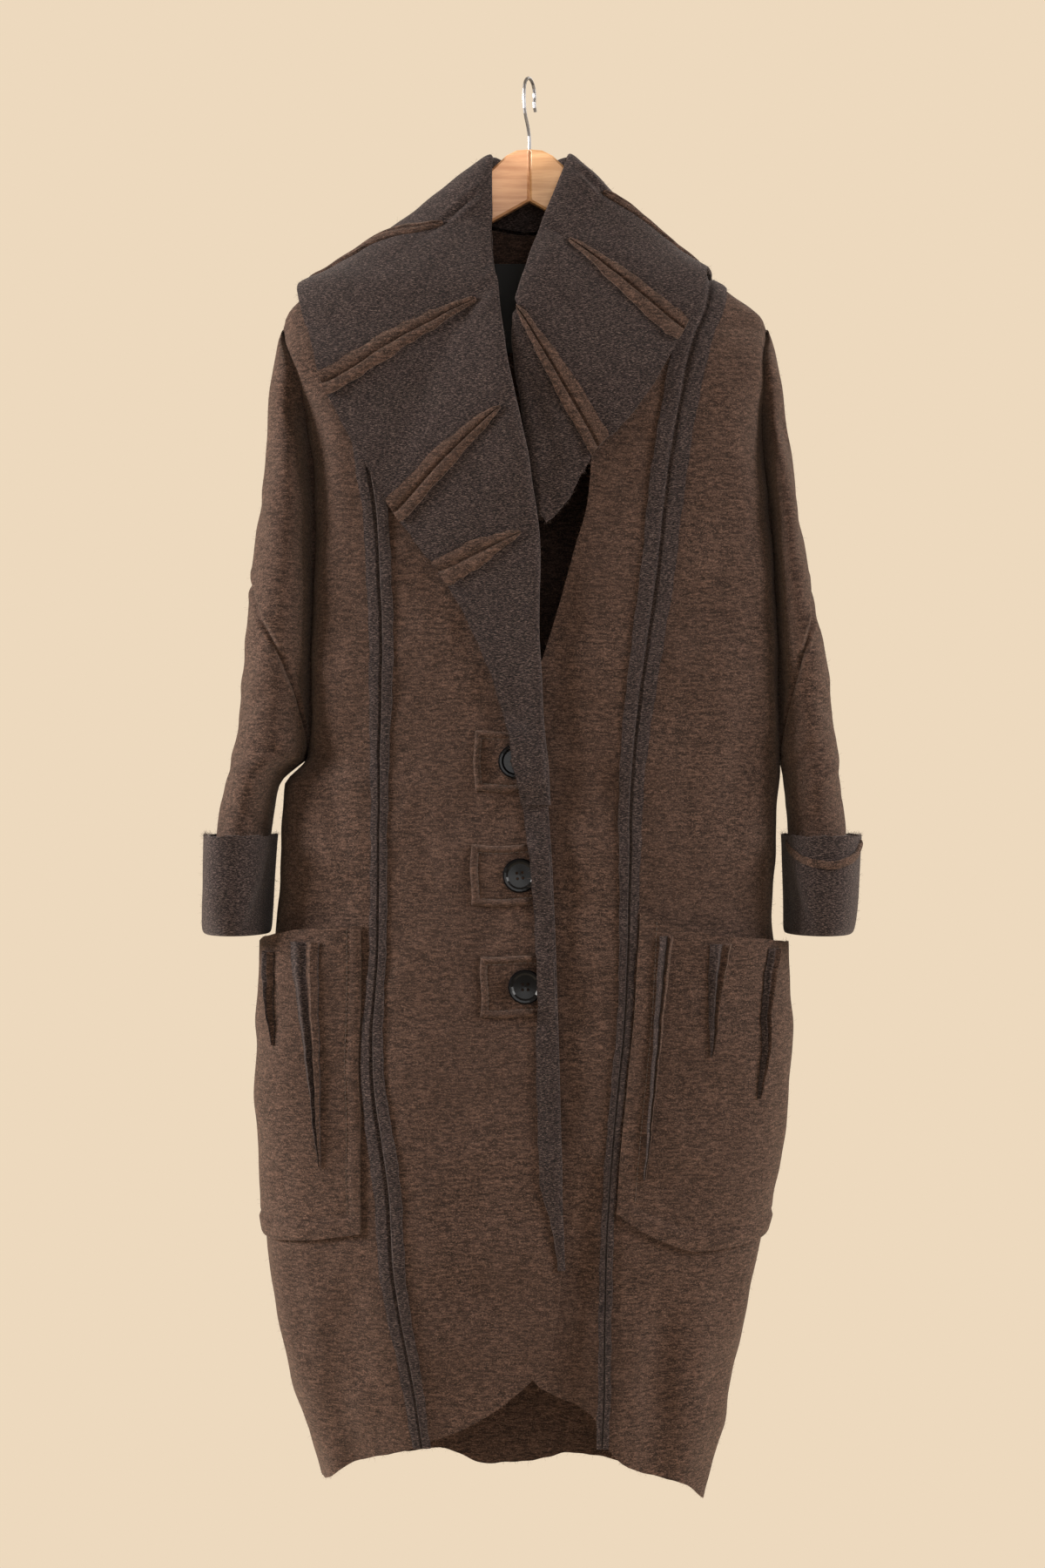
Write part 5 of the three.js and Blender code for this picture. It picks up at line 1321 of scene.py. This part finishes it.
def dart_thickness(place, distance, seed):
    """One of a dart's two allowances, with a groove between them and an edge that curls a little."""
    outwards = abs(place) * 2
    groove = smooth_step((outwards - 0.03) / 0.2)
    rounded = 1 - 0.45 * smooth_step((outwards - 0.7) / 0.3)
    curl = 0.6 * outwards * np.sin(distance / 17 + seed)
    return DART_THICKNESS * (0.1 + 0.9 * groove) * rounded + curl


class DartGround:
    """The collar's face along a dart: points and outward directions at any station, row by row."""

    def __init__(self, collar, middle, across):
        fine = np.linspace(middle.min() - DART_REACH, middle.max() + DART_REACH, 121)
        self.fine = fine[(fine >= 0) & (fine <= collar.end)]
        self.step = self.fine[1] - self.fine[0]
        self.rows = np.arange(len(across))
        self.base = collar.faces(self.fine, across, CLOTH)
        self.rise = unit(collar.faces(self.fine, across, CLOTH + 1) - self.base)
        cell, _ = self.cell(middle)
        apart = self.base[cell + 1, self.rows] - self.base[cell, self.rows]
        self.spread = np.linalg.norm(apart, axis=-1) / self.step

    def cell(self, station):
        place = np.clip((station - self.fine[0]) / self.step, 0, len(self.fine) - 1.001)
        return place.astype(int), place - place.astype(int)

    def at(self, station):
        k, share = self.cell(station)
        share = share[:, None]
        point = mix(self.base[k, self.rows], self.base[k + 1, self.rows], share)
        normal = mix(self.rise[k, self.rows], self.rise[k + 1, self.rows], share)
        return point, unit(normal)


class Collar:
    """One half of the collar as a smooth surface: u along it, v across (0 neck, 2 roll, 5 edge)."""

    def __init__(self, side):
        rows = COLLARS[side]
        self.side = side
        self.sign = -1 if side == "left" else 1
        self.end = len(rows) - 1
        self.stations = np.array([collar_station(rows, k) for k in range(len(rows))])
        self.columns = np.concatenate([
            np.arange(0, 3, 0.125), np.arange(3, 5, 0.0625), np.arange(5, self.end, 0.1), [self.end]])
        self.across = np.concatenate([
            np.linspace(0, 1.6, 11)[:-1], np.linspace(1.6, 2.5, 17)[:-1], np.linspace(2.5, 5, 36)])

    def plain(self, columns, across):
        """The under face: free above the shoulders, and pushed clear of the coat below."""
        lines = catmull(np.swapaxes(self.stations, 0, 1), across)
        grid = catmull(np.swapaxes(lines, 0, 1), columns)
        u = columns[:, None]
        v = across[None, :]
        over_buttons = (grid[..., 1] < 0) & (grid[..., 2] < BUTTONS_BELOW)
        passing = np.where(over_buttons, button_rise(grid[..., 0], grid[..., 2]), 0)
        share = smooth_step((v - COLLAR_ROLL) / 1.2)
        below = smooth_step((COLLAR_FREE_ABOVE - grid[..., 2]) / 20)
        over_shoulder = 3.5 * np.exp(-(((u - 4.2) / 1.5) ** 2))
        pushed = clear_of_coat(grid, share * (COLLAR_CLEARANCE + passing + over_shoulder))
        return np.where((v <= COLLAR_ROLL)[..., None], grid, mix(grid, pushed, below[..., None]))

    def faces(self, columns, across, lift):
        """Points of the outer side at a lift above the under face, with the collar's own dents."""
        grid = self.plain(columns, across)
        along = np.gradient(grid, axis=0)
        over = np.gradient(grid, axis=1)
        normal = unit(np.cross(along, over)) * self.sign
        relief = 0.8 * lumps(grid) * smooth_step((across[None, :] - 1.4) / 0.8)
        for u, v, long, wide, depth in COLLAR_DENTS[self.side]:
            bump = np.exp(-((columns[:, None] - u) / long) ** 2 - ((across[None, :] - v) / wide) ** 2)
            relief = relief + depth * bump * smooth_step((5.4 - across[None, :]) / 1.2)
        for spec in COLLAR_DARTS[self.side]:
            off = (columns[:, None] - spec["tip_station"]) / 0.09
            below = np.exp(-((across[None, :] - spec["tip"] + 0.3) / 0.42) ** 2)
            relief = relief + below * (1.6 * np.exp(-((np.abs(off) - 2) ** 2)) - 2.6 * np.exp(-off ** 2))
        return grid + normal * (lift + relief)[..., None]

    def build(self):
        edge_wave = raw_edge(self.columns * 45, self.sign + 4, 1.0)[:, None]
        grids = []
        for lift in (CLOTH, 0):
            grid = self.faces(self.columns, self.across, lift)
            grid[:, -1] += unit(grid[:, -1] - grid[:, -3]) * edge_wave
            grid[0, :, 0] = 0
            grids.append(grid)
        cloth_piece(f"collar_{self.side}", grids, CHARCOAL)

    def dart(self, spec):
        """Two raw allowances side by side that narrow to a point near the roll."""
        tip = spec["tip"]
        inner = np.arange(tip + DART_STEP, COLLAR_EDGE - DART_STEP / 2, DART_STEP)
        v = np.concatenate([[tip], inner, [COLLAR_EDGE]])
        share = (v - tip) / (COLLAR_EDGE - tip)
        middle = mix(spec["tip_station"], spec["station"], share)
        ground = DartGround(self, middle, v)
        opening = mix(3, spec["width"], np.minimum(1, share * 1.7) ** 0.8)
        distance = np.arange(len(v)) * 4.0
        end_lift = DART_END_LIFT * smooth_step((share - 0.7) / 0.3)
        outer, under = [], []
        for place in DART_PLACES:
            wavy = raw_edge(distance, spec["station"] + (2 if place > 0 else 7), 1.0)
            point, normal = ground.at(middle + place * (opening + 2 * wavy) / ground.spread)
            lift = LAID + end_lift * (abs(place) * 2) ** 2
            thick = dart_thickness(place, distance, spec["station"])
            outer.append(point + normal * (lift + thick)[:, None])
            under.append(point + normal * lift[:, None])
        cloth_piece(f"collar_dart_{self.side}_{spec['name']}", [np.stack(outer), np.stack(under)], BROWN)


# Label, sewing and loose fibres
def neck_label():
    """A plain black label inside the back of the neck."""
    x, height = np.meshgrid(np.linspace(*LABEL_SIDES, 13), np.linspace(LABEL_TOP, LABEL_BOTTOM, 29),
                            indexing="ij")
    curl = LABEL_CURL * smooth_step((LABEL_BOTTOM + 25 - height) / 25)
    behind = -CLOTH - LAID - 0.3 - curl
    grids = [on_coat_at(x, height, BACK, behind - thick) for thick in (LABEL_THICKNESS, 0)]
    dress(wall("neck_label", *grids, label_black()), "neck_label", "black label")


def stitched(path):
    """Start and end of each stitch along a row of points."""
    steps = np.linalg.norm(np.diff(path, axis=0), axis=1)
    along = np.concatenate([[0], np.cumsum(steps)])
    starts = np.arange(0, along[-1] - STITCH_LENGTH, STITCH_SPACING)

    def at(distance):
        return np.stack([np.interp(distance, along, path[:, k]) for k in range(3)], axis=-1)

    return at(starts), at(starts + STITCH_LENGTH)


def tab_stitches(number, spec):
    """Four rows of stitches inside the border of a button tab."""
    inset = TAB_BORDER + 0.4
    right, bottom = TAB_WIDTH - inset, TAB_HEIGHT - inset
    corners = [(inset, inset), (right, inset), (right, bottom), (inset, bottom), (inset, inset)]
    share = np.linspace(0, 1, 30)
    rows = []
    for (u0, v0), (u1, v1) in zip(corners, corners[1:]):
        x, height, top = tab_face(number, spec, mix(u0, u1, share), mix(v0, v1, share))
        rows.append(on_coat_at(x, height, FRONT, LAID + top + 0.1))
    return rows


def pocket_stitches(spec):
    """A row of stitches down the pocket's welt and one along its hem."""
    rows = []
    for shares, downs in (((0.056, 0.056), (0.01, 0.93)), ((0.06, 1), (0.937, 0.937))):
        turn, height, hollow, raised = pocket_face(spec, np.linspace(*shares, 80), np.linspace(*downs, 80))
        rows.append(on_coat(turn, height, hollow + CLOTH + raised + 0.1))
    return rows


def thread_rings(start, end):
    """Three square sections of a short thread that rises off the cloth in the middle."""
    side = unit(np.cross(unit(end - start), [0, -1, 0])) * STITCH_THICKNESS / 2
    out = np.array([0, -STITCH_THICKNESS, 0])
    rings = []
    for place, rise in ((start, 0), (mix(start, end, 0.5), 0.8), (end, 0)):
        lifted = place + out * rise
        for corner in (-side - out / 2, side - out / 2, side + out / 2, -side + out / 2):
            rings.append(lifted + corner)
    return rings


def thread_faces(first):
    """The faces of a short thread whose twelve corners begin at first."""
    faces = [(first + 3, first + 2, first + 1, first), (first + 8, first + 9, first + 10, first + 11)]
    for ring in (first, first + 4):
        for k in range(4):
            after = (k + 1) % 4
            faces.append((ring + k, ring + after, ring + 4 + after, ring + 4 + k))
    return faces


def stitches():
    rows = [row for number, spec in enumerate(BUTTONS, 1) for row in tab_stitches(number, spec)]
    rows += [row for spec in POCKETS.values() for row in pocket_stitches(spec)]
    points, quads = [], []
    for row in rows:
        for start, end in zip(*stitched(row)):
            quads += thread_faces(len(points))
            points += thread_rings(start, end)
    loose_piece(add_mesh("stitches", np.array(points), quads, thread_material()))


def fibre_roots(obj, count):
    """Random places and outward directions, half on the outer faces and half along the edges."""
    mesh = obj.data
    corners = np.empty(len(mesh.loops), dtype=np.int32)
    mesh.loops.foreach_get("vertex_index", corners)
    vertices = np.empty(len(mesh.vertices) * 3)
    mesh.vertices.foreach_get("co", vertices)
    faces = vertices.reshape(-1, 3)[corners.reshape(-1, 4)] / MM
    normals = np.cross(faces[:, 2] - faces[:, 0], faces[:, 3] - faces[:, 1])
    area = np.linalg.norm(normals, axis=1)
    outer = obj["outer_faces"]
    places, ways = [], []
    for chosen in (slice(0, outer), slice(2 * outer, len(faces))):
        share = area[chosen] / area[chosen].sum()
        picked = rng.choice(len(share), count // 2, p=share) + chosen.start
        s, t = rng.random((2, count // 2, 1))
        quad = faces[picked]
        places.append(mix(mix(quad[:, 0], quad[:, 1], s), mix(quad[:, 3], quad[:, 2], s), t))
        ways.append(unit(normals[picked]))
    return np.concatenate(places), np.concatenate(ways)


def fuzz(name, slot, count, colour):
    """One mesh of thin bent fibres over every piece of one cloth."""
    pieces = CLOTH_PIECES[slot]
    sizes = np.array([sum(face.area for face in obj.data.polygons) for obj in pieces])
    roots = [fibre_roots(obj, int(count * size / sizes.sum()) + 8) for obj, size in zip(pieces, sizes)]
    place = np.concatenate([root[0] for root in roots])
    way = np.concatenate([root[1] for root in roots])
    total = len(place)
    lean = unit(way * rng.uniform(0.25, 1, (total, 1)) + 0.8 * rng.normal(size=(total, 3)))
    lean = np.where((np.einsum("ij,ij->i", lean, way) < 0)[:, None], -lean, lean)
    length = rng.uniform(*FIBRE_LENGTH, (total, 1))
    middle = place + lean * length / 2
    tip = middle + unit(lean + 0.6 * rng.normal(size=(total, 3))) * length / 2
    side = unit(np.cross(lean, rng.normal(size=(total, 3)))) * FIBRE_THICKNESS / 2
    corners = [place - side, place + side, middle + side, middle - side, tip + side / 2, tip - side / 2]
    first = np.arange(total)[:, None] * len(corners)
    quads = np.concatenate([first + [0, 1, 2, 3], first + [3, 2, 4, 5]])
    points = np.stack(corners, axis=1).reshape(-1, 3)
    loose_piece(add_mesh(name, points, quads, fibre_fuzz(name, colour)))


# Hanger and buttons, which keep their CAD solids
def hanger_join(finish):
    """The glue line between the hanger's halves, from the left half's inner end."""
    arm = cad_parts["hanger_arm_left"]
    corners = np.array([(arm.matrix_world @ vertex.co)[:] for vertex in arm.data.vertices]) / MM
    end = np.unique(corners[corners[:, 0] > corners[:, 0].max() - 0.02].round(2), axis=0)
    middle = end.mean(axis=0)
    end = end[np.argsort(np.arctan2(end[:, 2] - middle[2], end[:, 1] - middle[1]))]
    count = len(end)
    points = np.concatenate([mix(middle, end, GLUE_LINE_SHARE) + [x, 0, 0] for x in (0, SEAM_GAP)])
    rim = [(k, (k + 1) % count, count + (k + 1) % count, count + k) for k in range(count)]
    loose_piece(add_mesh("hanger_join", points, rim, finish))


def finish_node(name, finish):
    """Gives every material slot of a CAD node one finish."""
    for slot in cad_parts[name].material_slots:
        slot.material = finish


# Light, floor and camera
def area_light(name, place, size, power, colour):
    light = bpy.data.lights.new(name, "AREA")
    light.shape = "SQUARE"
    light.size = size
    light.energy = power
    light.color = colour
    obj = bpy.data.objects.new(name, light)
    obj.location = place
    x, y, z = np.array(LIGHT_TARGET) - np.array(place)
    obj.rotation_euler = (math.atan2(math.hypot(x, y), -z), 0, math.atan2(-x, y))
    scene.collection.objects.link(obj)


def floor_disc():
    n = Nodes("floor")
    tone = n.noise((3, 3, 3))
    finish = n.finish(Base_Color=n.blend(tone, srgb(236, 222, 200), srgb(240, 227, 206)), Roughness=0.9)
    bpy.ops.mesh.primitive_circle_add(vertices=96, radius=FLOOR_RADIUS, fill_type="NGON",
                                      location=(0, 0, FLOOR_LEVEL))
    floor = bpy.context.active_object
    floor.name = "floor"
    floor.data.materials.append(finish)


def world_light():
    world = bpy.data.worlds.new("studio")
    scene.world = world
    world.use_nodes = True
    background = world.node_tree.nodes["Background"]
    background.inputs["Color"].default_value = srgb(*BACKDROP)
    background.inputs["Strength"].default_value = 1.0


def add_camera():
    data = bpy.data.cameras.new("camera")
    data.lens = CAMERA_LENS
    data.sensor_width = SENSOR_WIDTH
    obj = bpy.data.objects.new("camera", data)
    obj.location = CAMERA_PLACE
    obj.rotation_euler = (math.pi / 2, 0, 0)
    scene.collection.objects.link(obj)
    scene.camera = obj


# Everything in its place
def build_panels():
    """The back and the fronts, half a seam's gap away from each seam line."""
    centre_panel("back_center", [shifted(SEAMS.back_left, HALF_GAP), shifted(SEAMS.back_right, -HALF_GAP)],
                 BACK, HEMS.back, columns=48)
    centre_panel("front_left_center", [shifted(SEAMS.front_left, HALF_GAP), LEFT_EDGE],
                 FRONT, HEMS.left, columns=30)
    centre_panel("front_right_center", [RIGHT_EDGE, shifted(SEAMS.front_right, -HALF_GAP)],
                 FRONT, HEMS.right, columns=24, drop=overlap_drop)
    for name, seam, side, face, hem in (
        ("front_left_side", SEAMS.front_left, "left", FRONT, HEMS.left),
        ("front_right_side", SEAMS.front_right, "right", FRONT, HEMS.right),
        ("back_left_side", SEAMS.back_left, "left", BACK, HEMS.back),
        ("back_right_side", SEAMS.back_right, "right", BACK, HEMS.back),
    ):
        sleeve = SLEEVES[side]
        side_panel(name, shifted(seam, sleeve.sign * HALF_GAP), sleeve, face, hem)


def build_side(side):
    """The sleeve, cuff, pocket and half of the collar on one side."""
    sleeve_tube(side)
    cuff(side)
    pocket(side)
    collar = Collar(side)
    collar.build()
    for spec in COLLAR_DARTS[side]:
        collar.dart(spec)


def build_coat():
    build_panels()
    build_side("left")
    build_side("right")
    cuff_trim()
    for strip in SEAM_STRIPS:
        seam_strip(*strip)
    for dart in POCKET_DARTS:
        pocket_dart(dart)
    for number, spec in enumerate(BUTTONS, 1):
        button_tab(number, spec)
    front_edge_strip()
    neck_label()
    stitches()
    fuzz("fuzz_brown", BROWN.slot, BROWN_FIBRES, srgb(*BROWN_FUZZ))
    fuzz("fuzz_charcoal", CHARCOAL.slot, CHARCOAL_FIBRES, srgb(*CHARCOAL_FUZZ))


def finish_hard_parts():
    hanger_join(hanger_wood("hanger_glue_line", warm=True))
    finish_node("hanger_arm_left", hanger_wood("hanger_wood_left", warm=True))
    finish_node("hanger_arm_right", hanger_wood("hanger_wood_right", warm=False))
    finish_node("hanger_hook", hook_steel())
    for number in range(1, len(BUTTONS) + 1):
        finish_node(f"button_{number}", button_black())


def build_studio():
    world_light()
    floor_disc()
    for light in LIGHTS:
        area_light(*light)
    add_camera()
    scene.view_settings.view_transform = "Standard"


build_coat()
finish_hard_parts()
build_studio()
